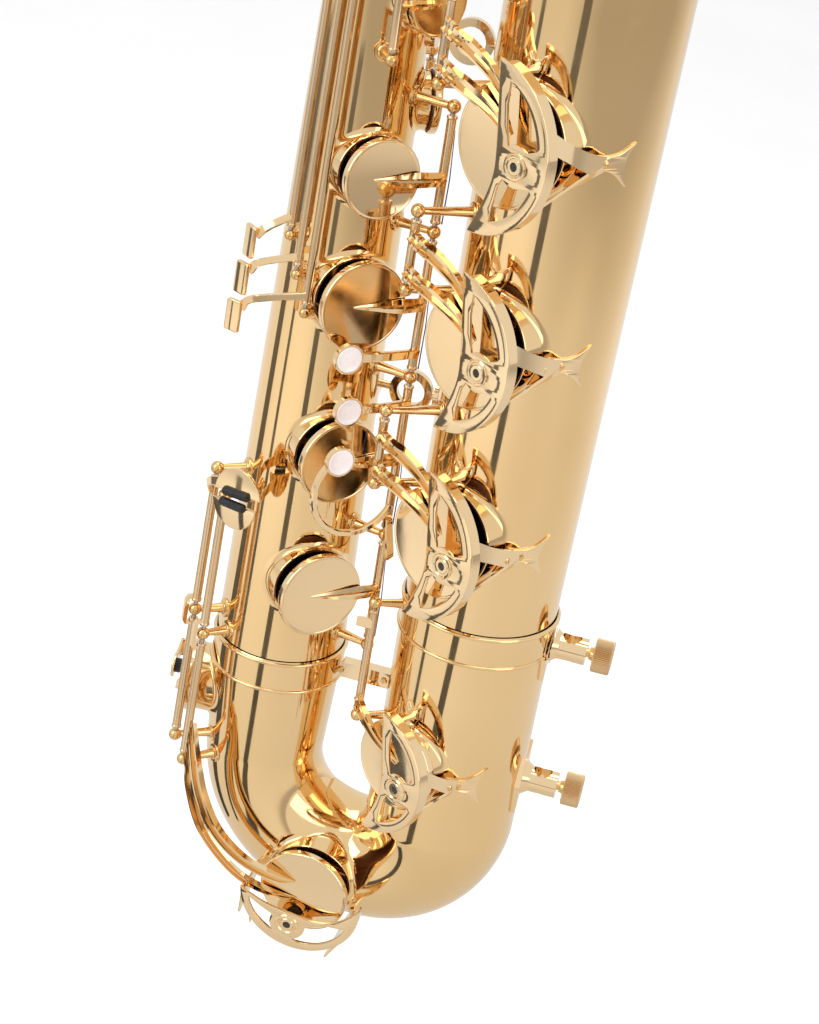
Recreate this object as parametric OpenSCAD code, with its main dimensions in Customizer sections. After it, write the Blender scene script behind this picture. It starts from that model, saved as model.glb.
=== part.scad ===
// Low-A baritone saxophone.
// Origin: centre of the lower peg bore. +Z runs up the instrument, +X runs from the
// body tube towards the bell side, and -Y is the side that carries the main keys.

/* [Tubes] */
// Distance from the body axis to the bell axis
tube_spacing = 128.8; // [126:0.2:132]
// Outer radius of the body tube at its lower end
body_r = 43; // [42:0.5:44]
// Outer radius of the bell at its lower end
bell_r = 50; // [49:0.5:51]
// Height of the lower end of the body tube
body_foot_z = 63; // [62:0.5:64]
// Height of the upper end of the body tube
body_top_z = 830; // [820:1:840]
// Height of the lower end of the bell
bell_foot_z = 124; // [122:1:126]
// Height of the bell rim
bell_top_z = 655; // [645:1:665]
// Outer radius of the bell rim
bell_rim_r = 89; // [85:1:92]
// Wall thickness of the tubes
wall = 1.2; // [1:0.1:1.6]

/* [Keys] */
// Height of a tone hole rim above the tube
rim_height = 5; // [4:0.5:6]
// Thickness of a pad
pad_t = 4; // [3:0.5:5]
// Opening angle of the four lower stack keys
stack_open = 9.5; // [7:0.5:10]
// Opening angle of the low bell keys
bell_key_open = 8.5; // [6:0.5:9]
// Outer radius of a hinge tube
tube_r = 2.9; // [2.7:0.1:3.2]
// Radius of a steel hinge rod
rod_r = 1.6; // [1.4:0.1:1.8]
// Diameter of a pearl
pearl_d = 17; // [16:0.5:18]

/* [Peg receivers] */
// Radius of the vertical peg bore
peg_bore_r = 6.2; // [5.5:0.1:6.5]
// Distance between the two receivers
peg_pitch = 104.5; // [100:0.5:108]
// Distance from the bell axis to the peg axis
peg_reach = 63.3; // [62:0.1:66]

/* [Hidden] */
$fn = 64;
brass = "#d9b36a";
deep_brass = "#c79a4a";
steel = "#8d8f96";
leather = "#6b3a1e";
black = "#1b1b1d";

// Tube axes and tapers: a taper is the radius lost per millimetre of height.
bell_x = -peg_reach;
body_x = bell_x - tube_spacing;
body_taper = 0.025;
bell_taper = -0.012;
// The bow bends gently on the body side and tightly on the bell side.
bow_low_z = -98;
bow_bend_r = 76;
bow_turn_r = tube_spacing - bow_bend_r;
bow_z = bow_low_z + bow_bend_r;
bow_turn_z = bow_low_z + bow_turn_r;
bow_r = 40;
bow_bell_r = 50.2;
gap = 0.3;
bore_clear = 0.05;
rim = body_r + rim_height;
bell_rim = bell_r + rim_height + 1;

// Bell keys: height above the bell foot, cup radius, hinge x and hinge height.
bell_az = -25;
a_y = 321;
b_flat_y = 194;
b_y = 64;
a_r = 36.5;
b_flat_r = 36;
b_r = 35.5;
bell_hx = -47.3;
bell_hz = 72.8;
// Lower stack keys: azimuth, hinge place, heights above the body foot, cup radii.
stack_az = 33;
stack_hx = 41.5;
stack_hz = 52;
d_y = 58;
e_y = 152;
f_y = 256;
f_sharp_y = 336;
d_r = 28.5;
e_r = 27.5;
f_r = 28.5;
f_sharp_r = 25;
stack_posts = [16, 97, 207, 302, 380];

// ---------- frames ----------
// A tube frame has x to the right, y up along the tube wall and z outwards.
module on_body(az, y = 0) {
    translate([body_x, 0, body_foot_z]) rotate([0, 0, az])
        rotate([90 - atan(body_taper), 0, 0]) translate([0, y, 0]) children();
}
module on_bell(az, y = 0) {
    translate([bell_x, 0, bell_foot_z]) rotate([0, 0, az])
        rotate([90 - atan(bell_taper), 0, 0]) translate([0, y, 0]) children();
}
// Turns a key about its hinge line, which runs along y through (hx, hz).
module turned(hx, hz, angle) {
    translate([hx, 0, hz]) rotate([0, angle, 0]) translate([-hx, 0, -hz]) children();
}

// ---------- shared shapes ----------
// Straight round bar between two points.
module rod(p, q, r) {
    d = q - p;
    translate(p) rotate([0, acos(d[2] / norm(d)), atan2(d[1], d[0])])
        cylinder(r = r, h = norm(d));
}
// Straight flat bar between two points in the x-y plane, t thick from z = z0.
module flat_bar(p, q, w1, w2, z0, t) {
    d = q - p;
    n = [-d[1], d[0]] / norm(d);
    translate([0, 0, z0]) linear_extrude(t) {
        polygon([p + n * w1 / 2, p - n * w1 / 2, q - n * w2 / 2, q + n * w2 / 2]);
        translate(p) circle(w1 / 2);
        translate(q) circle(w2 / 2);
    }
}
// Bored hinge tube between heights y1 and y2.
module hinge_tube(hx, hz, y1, y2, r = tube_r) {
    translate([hx, y1, hz]) rotate([-90, 0, 0]) difference() {
        cylinder(r = r, h = y2 - y1);
        translate([0, 0, -1]) cylinder(r = rod_r + bore_clear, h = y2 - y1 + 2);
    }
}
// Clears the rod's bore through arms that cross a hinge line.
module rod_bore(hx, hz, y1, y2) {
    translate([hx, y1, hz]) rotate([-90, 0, 0])
        cylinder(r = rod_r + bore_clear, h = y2 - y1);
}
// Key cup: a shallow dish over the pad, with a rounded outer edge.
module cup(r, z) {
    top = z + gap + pad_t + 1.6;
    low = z + gap + 1.6;
    rotate_extrude() polygon([[0, top], [r - 1.4, top], [r - 0.5, top - 0.4],
        [r, top - 1.3], [r, low], [r - 1.2, low], [r - 1.2, z + gap + pad_t],
        [0, z + gap + pad_t]]);
}
module pad(r, z) {
    translate([0, 0, z + gap]) cylinder(r = r - 1.4, h = pad_t);
}
function cup_top(z) = z + gap + pad_t + 1.6;
// Pearl touch: a holder cup and the pearl seated in it.
module pearl_touch(x, y, z, d = pearl_d) {
    translate([x, y, z - 4]) {
        difference() {
            cylinder(r = d / 2 + 1.2, h = 4);
            translate([0, 0, 1.5]) cylinder(r = d / 2, h = 4);
        }
        translate([0, 0, 1.5]) cylinder(r = d / 2, h = 3);
    }
}
// Post with a round foot, a tapered stem and a ball that holds a hinge rod.
module post(hx, hz, y, taper, r0, ball = 4.3) {
    cz = taper * y;
    rho = norm([hx, hz - cz]);
    base = r0 - taper * y;
    translate([0, y, cz]) rotate([0, atan2(hx, hz - cz), 0]) {
        translate([0, 0, base - 1.5]) cylinder(r = 6.5, h = 3);
        translate([0, 0, base]) cylinder(r1 = 3.6, r2 = 2.4, h = rho - base - 2);
        translate([0, 0, rho]) sphere(r = ball);
    }
}
// Solid outlines of the tubes, which cut feet to the tube walls.
module body_solid() {
    translate([body_x, 0, body_foot_z])
        cylinder(r1 = body_r, r2 = body_r - body_taper * (body_top_z - body_foot_z),
            h = body_top_z - body_foot_z, $fn = 128);
}
bell_straight = 400;
module bell_solid() {
    translate([bell_x, 0, bell_foot_z])
        cylinder(r1 = bell_r, r2 = bell_r - bell_taper * bell_straight,
            h = bell_straight, $fn = 128);
}
bow_top_r = body_r + 0.4;
bell_bow_r = bell_r + 0.4;
body_leg = body_foot_z - 12 - bow_z;
bell_leg = bell_foot_z - 12 - bow_turn_z;
// The tight bend widens in short steps that overlap a little.
turn_steps = 15;
turn_step = 90 / turn_steps;
turn_lap = 0.6;
function turn_step_r(i) = bow_r + (i + 0.5) * (bow_bell_r - bow_r) / turn_steps;
module bow_solid(inset = 0) {
    translate([body_x, 0, bow_z])
        cylinder(r1 = bow_r - inset, r2 = bow_top_r - inset, h = body_leg, $fn = 128);
    translate([bell_x, 0, bow_turn_z])
        cylinder(r1 = bow_bell_r - inset, r2 = bell_bow_r - inset, h = bell_leg, $fn = 128);
    translate([body_x + bow_bend_r, 0, bow_z]) rotate([90, 0, 0]) rotate([0, 0, 180])
        rotate_extrude(angle = 90, $fn = 128) translate([bow_bend_r, 0])
            circle(bow_r - inset, $fn = 96);
    for (i = [0:turn_steps - 1])
        translate([bell_x - bow_turn_r, 0, bow_turn_z]) rotate([90, 0, 0])
            rotate([0, 0, 270 + i * turn_step - turn_lap])
                rotate_extrude(angle = turn_step + 2 * turn_lap, $fn = 128) translate([bow_turn_r, 0])
                    circle(turn_step_r(i) - inset, $fn = 96);
}
module tube_walls() {
    body_solid();
    bell_solid();
    bow_solid();
}

// ---------- tubes ----------
// Chimneys of one frame: list of [azimuth, height, radius of the cup].
body_holes = [[stack_az, d_y, d_r], [stack_az, e_y, e_r], [stack_az, f_y, f_r],
    [stack_az, f_sharp_y, f_sharp_r], [62, 440, 20], [62, 500, 18.5], [62, 556, 17],
    [112, 372, 20], [14, 508, 11], [4, 575, 12], [-8, 690, 11],
    [-105, 690, 11], [-105, 640, 11.5], [-105, 590, 12]];
bell_holes = [[bell_az, a_y, a_r], [bell_az, b_flat_y, b_flat_r], [bell_az, b_y, b_r]];
hole_wall = 1.4;
function hole_r(cup_r) = cup_r - 3.4;
module chimney(cup_r, z, extra = 0) {
    translate([0, 0, 12]) cylinder(r = hole_r(cup_r) + extra, h = z - 12);
}
module body_tube() {
    color(brass) difference() {
        union() {
            body_solid();
            for (h = body_holes) on_body(h[0], h[1]) chimney(h[2], rim, hole_wall);
            translate([body_x, 0, body_foot_z]) cylinder(r = body_r + 1.6, h = 3, $fn = 128);
            translate([body_x, 0, body_top_z - 12]) cylinder(r = 26.5, h = 12);
        }
        translate([body_x, 0, body_foot_z - 1])
            cylinder(r1 = body_r - wall + body_taper,
                r2 = body_r - wall - body_taper * (body_top_z - body_foot_z + 1),
                h = body_top_z - body_foot_z + 2, $fn = 128);
        for (h = body_holes) on_body(h[0], h[1]) chimney(h[2], rim + 2);
    }
}
// Outer radius of the bell at a height above its foot.
flare_length = bell_top_z - bell_foot_z - bell_straight;
function bell_radius(y) = y <= bell_straight ? bell_r - bell_taper * y :
    let (u = (y - bell_straight) / flare_length)
    bell_r - bell_taper * y + (bell_rim_r - 4 - bell_r + bell_taper * bell_straight * 1.3)
        * pow(u, 2.6);
bell_steps = 18;
bell_outer = concat([[bell_radius(0), 0]], [for (i = [0:bell_steps])
    let (y = bell_straight + flare_length * i / bell_steps) [bell_radius(y), y]]);
bell_length = bell_top_z - bell_foot_z;
module bell() {
    color(brass) {
        difference() {
            union() {
                translate([bell_x, 0, bell_foot_z]) rotate_extrude($fn = 128)
                    polygon(concat([[0, 0]], bell_outer, [[0, bell_length]]));
                for (h = bell_holes) on_bell(h[0], h[1]) chimney(h[2], bell_rim, hole_wall);
                translate([bell_x, 0, bell_foot_z]) cylinder(r = bell_r + 1.6, h = 3, $fn = 128);
            }
            translate([bell_x, 0, bell_foot_z]) rotate_extrude($fn = 128)
                polygon(concat([[0, -1], [bell_r - wall, -1]],
                    [for (p = bell_outer) [p[0] - wall, p[1]]],
                    [[bell_radius(bell_length) - wall, bell_length + 1], [0, bell_length + 1]]));
            for (h = bell_holes) on_bell(h[0], h[1]) chimney(h[2], bell_rim + 2);
        }
        translate([bell_x, 0, bell_top_z]) rotate_extrude($fn = 128)
            translate([bell_radius(bell_length) + 0.6, 0]) circle(2.4, $fn = 32);
    }
}

// Places on the bow: around the bend from the body side, then around the tube.
module on_bow(around, across) {
    translate([body_x + bow_bend_r, 0, bow_z]) rotate([0, -around, 0])
        translate([-bow_bend_r, 0, 0]) rotate([90, 0, 0]) rotate([0, across - 90, 0]) children();
}
// The same place as a point, at a distance from the middle of the bow.
function bow_point(around, across, out) = let (c = cos(across) * out)
    [body_x + bow_bend_r - (bow_bend_r + c) * cos(around), -sin(across) * out,
        bow_z - (bow_bend_r + c) * sin(around)];
c_around = 75;
c_across = 86;
c_r = 31;
c_rim = bow_r + rim_height;
// Where the guard's boss stands, measured from the middle of the C cup.
c_boss = [0, -24];
c_sharp_r = 31;
c_sharp_az = -30;
c_sharp_y = 15 - bell_foot_z;
c_sharp_rim = 54;
e_flat_az = -82;
e_flat_y = 14 - body_foot_z;
e_flat_r = 25;
e_flat_rim = 50;
module lower_bow() {
    color(brass) difference() {
        union() {
            bow_solid();
            on_bow(c_around, c_across) chimney(c_r, c_rim, hole_wall);
            on_bell(c_sharp_az, c_sharp_y) chimney(c_sharp_r, c_sharp_rim, hole_wall);
            on_body(e_flat_az, e_flat_y) chimney(e_flat_r, e_flat_rim, hole_wall);
        }
        bow_solid(wall);
        translate([body_x, 0, body_foot_z - 13]) cylinder(r = bow_top_r - wall, h = 4);
        translate([bell_x, 0, bell_foot_z - 13]) cylinder(r = bell_bow_r - wall, h = 4);
        on_bow(c_around, c_across) chimney(c_r, c_rim + 2);
        on_bell(c_sharp_az, c_sharp_y) chimney(c_sharp_r, c_sharp_rim + 2);
        on_body(e_flat_az, e_flat_y) chimney(e_flat_r, e_flat_rim + 2);
    }
}
module bow_ferrules() {
    color(deep_brass) {
        translate([body_x, 0, body_foot_z - 24.3]) ferrule(body_r, 24);
        translate([bell_x, 0, bell_foot_z - 24.3]) ferrule(bell_r, 24);
    }
}
// Two raised beads on a thin sleeve around a joint between tubes.
module ferrule(r, h) {
    difference() {
        union() {
            cylinder(r = r + 1.7, h = h, $fn = 128);
            rotate_extrude($fn = 128) translate([r + 1.7, 1.6]) circle(1.3, $fn = 24);
            rotate_extrude($fn = 128) translate([r + 1.7, h - 1.6]) circle(1.3, $fn = 24);
        }
        translate([0, 0, -1]) cylinder(r = r + 0.8, h = h + 2, $fn = 128);
    }
}
module bow_plate() {
    color(brass) plate_sweep();
}
// The sleeve; with room it is solid to the middle and cuts back what stands beside it.
module plate_sweep(room = 0) {
    translate([body_x + bow_bend_r, 0, bow_z]) rotate([90, 0, 0]) rotate([0, 0, 225])
        rotate_extrude(angle = 45, $fn = 128) plate_section(bow_bend_r, bow_r, room);
    for (i = [0:turn_steps - 3])
        translate([bell_x - bow_turn_r, 0, bow_turn_z]) rotate([90, 0, 0])
            rotate([0, 0, 270 + i * turn_step - turn_lap])
                rotate_extrude(angle = turn_step + 2 * turn_lap, $fn = 128)
                    plate_section(bow_turn_r, turn_step_r(i), room);
}
// Thin outer sleeve over the outermost part of the bow.
module plate_section(bend, r, room) {
    translate([bend, 0]) difference() {
        circle(r + 2.3 + room, $fn = 96);
        if (room == 0) circle(r + 1, $fn = 96);
        translate([-60, -60]) square([60 + r * 0.8 - room, 120]);
    }
}
module braces() {
    color(brass) difference() {
        union() {
            for (z = [250, 478]) translate([(body_x + bell_x) / 2 - 7, 14, z]) {
                rotate([90, 0, 0]) difference() {
                    cylinder(r = 14, h = 5);
                    translate([0, 0, -1]) cylinder(r = 9, h = 7);
                }
                for (s = [-1, 1]) rod([s * 12, -2.5, 0], [s * 27, -2.5, 0], 2.6);
                translate([-25, -2.5, 0]) rotate([0, 90, 0]) cylinder(r = 9, h = 9, center = true);
                translate([19.2, -2.5, 0]) rotate([0, 90, 0]) cylinder(r = 9, h = 7, center = true);
            }
            translate([-152, -9, 44]) cube([42, 9, 11]);
        }
        tube_walls();
        translate([body_x, 0, body_foot_z - 24.3]) cylinder(r = body_r + 3.2, h = 24.3);
        translate([bell_x, 0, -20]) cylinder(r = bell_r + 0.2, h = 100);
    }
}

// ---------- upper bow, neck and mouthpiece ----------
loop_r = 42;
loop_x = body_x + 2 * loop_r;
loop_low_z = 757;
turn_r = 27;
turn_dir = [-0.5, 0.866];
up_x = loop_x + 2 * turn_r * turn_dir[0];
up_y = 2 * turn_r * turn_dir[1];
neck_z = 872;
module loop_tube(inset = 0) {
    translate([body_x + loop_r, 0, body_top_z]) rotate([90, 0, 0])
        rotate_extrude(angle = 180, $fn = 96) translate([loop_r, 0]) circle(23 - inset, $fn = 64);
    translate([loop_x, 0, loop_low_z - 2])
        cylinder(r1 = 19.2 - inset, r2 = 22.7 - inset, h = body_top_z - loop_low_z + 4);
    translate([loop_x, 0, loop_low_z]) rotate([0, 0, 120]) translate([turn_r, 0, 0])
        rotate([-90, 0, 0]) rotate_extrude(angle = 180, $fn = 96)
            translate([turn_r, 0]) circle(19.5 - inset, $fn = 64);
    translate([up_x, up_y, loop_low_z - 2])
        cylinder(r1 = 19.2 - inset, r2 = 16.5 - inset, h = neck_z - loop_low_z + 2);
}
module upper_bow() {
    color(brass) {
        difference() {
            union() {
                loop_tube();
                translate([loop_x, 0, body_top_z - 6]) cylinder(r = 24.2, h = 9);
                for (p = [[loop_x, 0], [up_x, up_y]])
                    translate([p[0], p[1], loop_low_z - 3]) cylinder(r = 21.4, h = 9);
                translate([up_x, up_y, neck_z - 26]) cylinder(r = 18.4, h = 26);
                translate([up_x + 14, up_y - 4, neck_z - 20]) cube([12, 8, 16]);
            }
            loop_tube(wall);
            translate([up_x, up_y, neck_z - 24]) cylinder(r = 14.6, h = 30);
            translate([up_x, up_y - 0.6, neck_z - 22]) cube([30, 1.2, 30]);
        }
    }
}
neck_bend = 48;
neck_angle = 105;
neck_r = 12.5;
module neck_frame() {
    translate([up_x, up_y, neck_z + 26]) rotate([0, 0, 160]) children();
}
// End of the neck's bend, with z along the mouthpiece.
module neck_end() {
    neck_frame() translate([neck_bend, 0, 0]) rotate([0, neck_angle, 0])
        translate([-neck_bend, 0, 0]) children();
}
// Open ring of tube along z.
module tube(r, bore, h) {
    difference() {
        cylinder(r = r, h = h);
        translate([0, 0, -1]) cylinder(r = bore, h = h + 2);
    }
}
neck_wall = 1;
neck_tip_r = 9.5;
// Sleeves that join the neck's bend to its straight ends.
neck_sleeve_r = 13.2;
neck_sleeve_bore = 11.8;
neck_straight = 62;
// Hinge line of the neck's octave key.
neck_hx = -19;
neck_hz = 2;
module neck() {
    color(brass) {
        neck_frame() {
            translate([0, 0, -21]) tube(neck_sleeve_r, neck_sleeve_bore, 22.5);
            translate([0, 0, -25.6]) tube(18.4, neck_sleeve_bore, 5);
            translate([0, 0, -48]) tube(14.5, 13.3, 22.4);
            translate([neck_bend, 0, 0]) rotate([90, 0, 0]) rotate([0, 0, 180 - neck_angle])
                rotate_extrude(angle = neck_angle) translate([neck_bend, 0]) difference() {
                    circle(neck_r);
                    circle(neck_r - neck_wall);
                }
        }
        neck_end() translate([0, 0, -1.5]) tube(neck_sleeve_r, neck_sleeve_bore, 4.5);
        neck_end() difference() {
            union() {
                translate([0, 0, 0.3])
                    cylinder(r1 = neck_r, r2 = neck_tip_r, h = neck_straight - 0.3);
                translate([-9, 0, 18]) rotate([0, -90, 0]) cylinder(r = 3, h = 9.6);
                for (y = [-7.5, 5.5]) translate([-21, y, -1]) cube([10.7, 2, 6]);
            }
            translate([neck_hx, -10, neck_hz]) rotate([-90, 0, 0])
                cylinder(r = rod_r + bore_clear, h = 20);
            translate([0, 0, -0.1]) cylinder(r1 = neck_r - neck_wall, r2 = neck_tip_r - neck_wall,
                h = neck_straight + 0.2);
            translate([-8, 0, 18]) rotate([0, -90, 0]) cylinder(r = 1.2, h = 14);
        }
    }
}
module neck_cork() {
    color("#b98a55") neck_end() translate([0, 0, 30]) difference() {
        cylinder(r1 = 12.4, r2 = 11.52, h = 23.5);
        translate([0, 0, -30]) cylinder(r1 = neck_r + 0.02, r2 = 9.52, h = 62);
    }
}
mouthpiece_z = 42;
module mouthpiece() {
    color(black) neck_end() translate([0, 0, mouthpiece_z]) difference() {
        union() {
            cylinder(r = 14.5, h = 4);
            cylinder(r1 = 13.6, r2 = 12.6, h = 52);
            translate([0, 0, 52]) cylinder(r1 = 12.6, r2 = 8, h = 44);
        }
        translate([0, 0, -12]) cylinder(r1 = 12.4, r2 = 11.2, h = 32);
        cylinder(r = 8, h = 72);
        translate([10.6, -20, 12]) cube([20, 40, 100]);
        translate([-16, -20, 50]) rotate([0, 21, 0]) translate([-20, 0, 0]) cube([20, 40, 80]);
        translate([2, -5.5, 58]) cube([12, 11, 30]);
    }
}
module reed() {
    color("#dcc07c") neck_end() translate([10.7, 0, mouthpiece_z + 12]) {
        intersection() {
            translate([-9, 0, 0]) cylinder(r = 12.4, h = 82);
            translate([0, -7.5, 0]) cube([3.4, 15, 48]);
        }
        translate([0, 7.2, 48]) rotate([90, 0, 0]) linear_extrude(14.4)
            polygon([[0, 0], [3, 0], [0.5, 34], [0, 34]]);
    }
}
module ligature() {
    color(brass) neck_end() translate([0, 0, mouthpiece_z + 16]) difference() {
        union() {
            cylinder(r = 15.6, h = 26);
            for (z = [6, 20]) translate([15, -8, z]) rotate([-90, 0, 0])
                cylinder(r = 3.4, h = 16);
        }
        translate([0, 0, -1]) cylinder(r = 14.6, h = 28);
        translate([0, -20, 9]) cube([30, 40, 8]);
    }
}

// ---------- fittings on the body ----------
module body_fittings() {
    ring_z = body_r + 9;
    color(brass) difference() {
        union() {
            // Two strap rings on the back
            for (y = [330, 420]) on_body(180, y) {
                translate([0, 0, 20]) cylinder(r = 8, h = body_r - 18.5);
                translate([0, 0, ring_z]) rotate([90, 0, 0]) rotate_extrude()
                    translate([8, 0]) circle(1.8, $fn = 32);
            }
            // Right thumb hook
            on_body(168, 236) {
                translate([0, 0, 20]) cylinder(r = 10, h = body_r - 18.5);
                translate([-4, -3, body_r]) cube([8, 6, 14]);
                translate([-4, -16, body_r + 12]) cube([8, 16, 3]);
            }
            // Left thumb rest
            on_body(-165, 560) translate([0, 0, 20]) cylinder(r = 10, h = body_r - 16);
        }
        body_solid();
    }
}
// Every post: [x, z out, y] in its frame.
low_rod_az = -43;
low_rod_z = 61.5;
e_rod_az = -54;
e_rod_z = 64;
side_rods = [-31, -19, -7];
side_rod_z = 52;
palm_az = -130;
palm_z = 50;
upper_az = 62;
upper_hx = -29;
upper_hz = 52;
upper_posts = [408, 470, 530, 590];
g_sharp_az = 112;
octave_az = 172;
// Every chimney with a little room, which cuts back the posts beside it.
module hole_walls() {
    for (h = body_holes) on_body(h[0], h[1]) chimney(h[2], rim, hole_wall + 0.3);
    for (h = bell_holes) on_bell(h[0], h[1]) chimney(h[2], bell_rim, hole_wall + 0.3);
}
module posts() {
    color(deep_brass) difference() {
        union() {
            for (y = stack_posts) on_body(stack_az) post(stack_hx, stack_hz, y, body_taper, body_r);
            for (y = [6, 108]) on_body(low_rod_az) post(0, low_rod_z, y, body_taper, body_r);
            for (y = [18, 122]) on_body(e_rod_az) post(0, e_rod_z, y, body_taper, body_r);
            on_body(low_rod_az) post(0, low_rod_z, -92, body_taper, bow_r - 3);
            on_body(e_rod_az) post(0, e_rod_z, -80, body_taper, bow_r - 3);
            for (i = [0:2], y = [288 - 22 * i, side_mid[i], side_y[i] + 18])
                on_body(side_rods[i]) post(0, side_rod_z, y, body_taper, body_r, 3.6);
            for (y = upper_posts)
                on_body(upper_az) post(upper_hx, upper_hz, y, body_taper, body_r, 4);
            for (y = [350, 396]) on_body(g_sharp_az) post(26, upper_hz, y, body_taper, body_r, 4);
            for (i = [0:2], s = [-16, 16])
                on_body(palm_az) post(0, palm_z, 590 + 50 * i + s, body_taper, body_r, 3.6);
            for (y = [574, 640]) on_body(octave_az) post(0, palm_z, y, body_taper, body_r, 3.6);
            for (y = [a_y + 22, a_y + 78, b_flat_y + 22, b_flat_y + 72, b_y + 22, b_y + 72])
                on_bell(bell_az) post(bell_hx, bell_hz, y, bell_taper, bell_r);
            for (y = [-92, -6]) on_bell(c_sharp_az)
                post(c_sharp_hx, c_sharp_hz, y, bell_taper, bell_r);
        }
        tube_walls();
        hole_walls();
        translate([body_x, 0, body_foot_z - 25]) cylinder(r = body_r + 3.2, h = 29);
        translate([bell_x, 0, bell_foot_z - 25]) cylinder(r = bell_r + 3.2, h = 29);
        rod_lines(rod_r + bore_clear);
    }
}
side_y = [705, 590, 530];
side_mid = [452, 470, 488];
c_sharp_hx = -40;
c_sharp_hz = 58;
// Every hinge rod as a plain cylinder of radius r.
module rod_line(x, z, y1, y2, r) {
    translate([x, y1, z]) rotate([-90, 0, 0]) cylinder(r = r, h = y2 - y1);
}
module rod_lines(r) {
    on_body(stack_az) rod_line(stack_hx, stack_hz, 12.5, 383.5, r);
    on_body(low_rod_az) rod_line(0, low_rod_z, -95.5, 111.5, r);
    on_body(e_rod_az) rod_line(0, e_rod_z, -83.5, 125.5, r);
    for (i = [0:2])
        on_body(side_rods[i]) rod_line(0, side_rod_z, 285 - 22 * i, side_y[i] + 21, r);
    on_body(upper_az) rod_line(upper_hx, upper_hz, 405, 593, r);
    on_body(g_sharp_az) rod_line(26, upper_hz, 347, 399, r);
    for (i = [0:2]) on_body(palm_az) rod_line(0, palm_z, 571 + 50 * i, 609 + 50 * i, r);
    on_body(octave_az) rod_line(0, palm_z, 571, 643, r);
    for (y = [a_y, b_flat_y, b_y]) on_bell(bell_az)
        rod_line(bell_hx, bell_hz, y + 18.5, y + (y == a_y ? 81.5 : 75.5), r);
    on_bell(c_sharp_az) rod_line(c_sharp_hx, c_sharp_hz, -95.5, -2.5, r);
}
module hinge_rods() {
    color(steel) {
        rod_lines(rod_r);
        neck_end() translate([neck_hx, -8.5, neck_hz]) rotate([-90, 0, 0])
            cylinder(r = rod_r, h = 17);
    }
}
module needle_springs() {
    color("#2b3a66") {
        for (y = stack_posts) if (y < 380) on_body(stack_az)
            rod([stack_hx + 5.5, y + 4, stack_hz - 3], [stack_hx + 5, y + 62, stack_hz - 4.5], 0.4);
        for (y = [a_y, b_flat_y, b_y]) on_bell(bell_az)
            rod([bell_hx - 5, y + 26, bell_hz - 4], [bell_hx - 5.5, y + 64, bell_hz - 5], 0.4);
    }
}

// ---------- guards ----------
guard_r = 52;
guard_c = [-9, -1];
boss = [19, -5];
bumper_r = 5;
guard_z0 = 68.6;
guard_t = 1.8;
// Crescent with two windows and a boss, drawn for a cup of radius 36.5.
module guard_outline() {
    difference() {
        translate(guard_c) circle(guard_r, $fn = 96);
        polygon([[-80, 70], [-7, 70], [-6, 51], [2, 7], [6, -12], [-1, -33], [-10, -50],
            [-22, -62], [-80, -62]]);
        difference() {
            translate(guard_c) circle(guard_r - 7, $fn = 96);
            translate(boss) circle(bumper_r + 6);
            polygon([[-60, 60], [3, 60], [3, 39], [9, 9], [12, -20], [4, -44], [0, -60], [-60, -60]]);
            translate([22, -14]) square([40, 13]);
        }
        translate(boss) circle(bumper_r + 1.4);
    }
}
module guard_boss(k) {
    translate([boss[0] * k, boss[1] * k, guard_z0 - 2.5]) difference() {
        cylinder(r = bumper_r + 3.4, h = guard_t + 3.4);
        translate([0, 0, -1]) cylinder(r = bumper_r + 0.05, h = 8);
    }
}
// Bell-key guard: plate over the open cup, skirt, side leg and a foot on the bell.
module bell_guard(az, y, hx, hz, open, k, lift = 0) {
    difference() {
        union() {
            on_bell(az, y) turned(hx, hz, -open) translate([0, 0, lift]) {
                translate([0, 0, guard_z0]) linear_extrude(guard_t) scale(k) guard_outline();
                guard_boss(k);
                translate([guard_c[0] * k, guard_c[1] * k, guard_z0 - 5]) rotate([0, 0, -52])
                    rotate_extrude(angle = 130, $fn = 96)
                        translate([guard_r * k - 2, 0]) square([1.4, 5.8]);
            }
            on_bell(az, y) {
                guard_leg(k, guard_height(39 * k, hx, hz, open, lift));
                translate([-4, 38 * k + 2, bell_r - 6])
                    cube([8, 2.2, guard_height(0, hx, hz, open, lift) - bell_r + 6.9]);
                translate([0, 0, bell_r - 12]) linear_extrude(13.6) top_foot(k);
            }
            on_bell(az + asin(leg_x * k / bell_r), y + leg_y)
                translate([0, 0, bell_r - 9]) linear_extrude(10.6) leg_foot();
        }
        tube_walls();
    }
}
// Height of the plate's lower face over the place x, with the plate turned about the hinge.
function guard_height(x, hx, hz, open, lift) =
    hz + (guard_z0 + lift - hz) * cos(open) + (x - hx) * sin(open);
leg_x = 37.6;
leg_y = -3;
leg_lean = 3;
// Leg from the plate's right edge down to the bell, with a three-cornered window.
module guard_leg(k, top) {
    foot_z = 32;
    high = top + 0.9 - foot_z;
    translate([leg_x * k, leg_y, foot_z]) rotate([0, leg_lean, 0]) rotate([90, 0, 90])
        linear_extrude(1.6) difference() {
            polygon([[15 * k, high], [8, 20], [5, 12], [5, 0], [-5, 0], [-5, 12], [-9, 20],
                [-17 * k, high]]);
            polygon([[10 * k, high - 7], [2, 20], [-3, 20], [-12 * k, high - 7]]);
        }
}
module leg_foot() {
    polygon([[-4, -4.5], [11, -4], [21, -14], [18, 0], [23, 13], [11, 4], [-4, 4.5]]);
}
module top_foot(k) {
    translate([-2, 38 * k]) polygon([[-3, 0], [-1, 14], [4, 9], [10, 14], [9, 0]]);
}
module low_a_guard() {
    color(brass) bell_guard(bell_az, a_y, bell_hx, bell_hz, bell_key_open, 1);
}
module b_flat_guard() {
    color(brass) bell_guard(bell_az, b_flat_y, bell_hx, bell_hz, bell_key_open, 0.98);
}
module b_guard() {
    color(brass) bell_guard(bell_az, b_y, bell_hx, bell_hz, bell_key_open, 0.97);
}
c_sharp_lift = 4.2;
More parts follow.
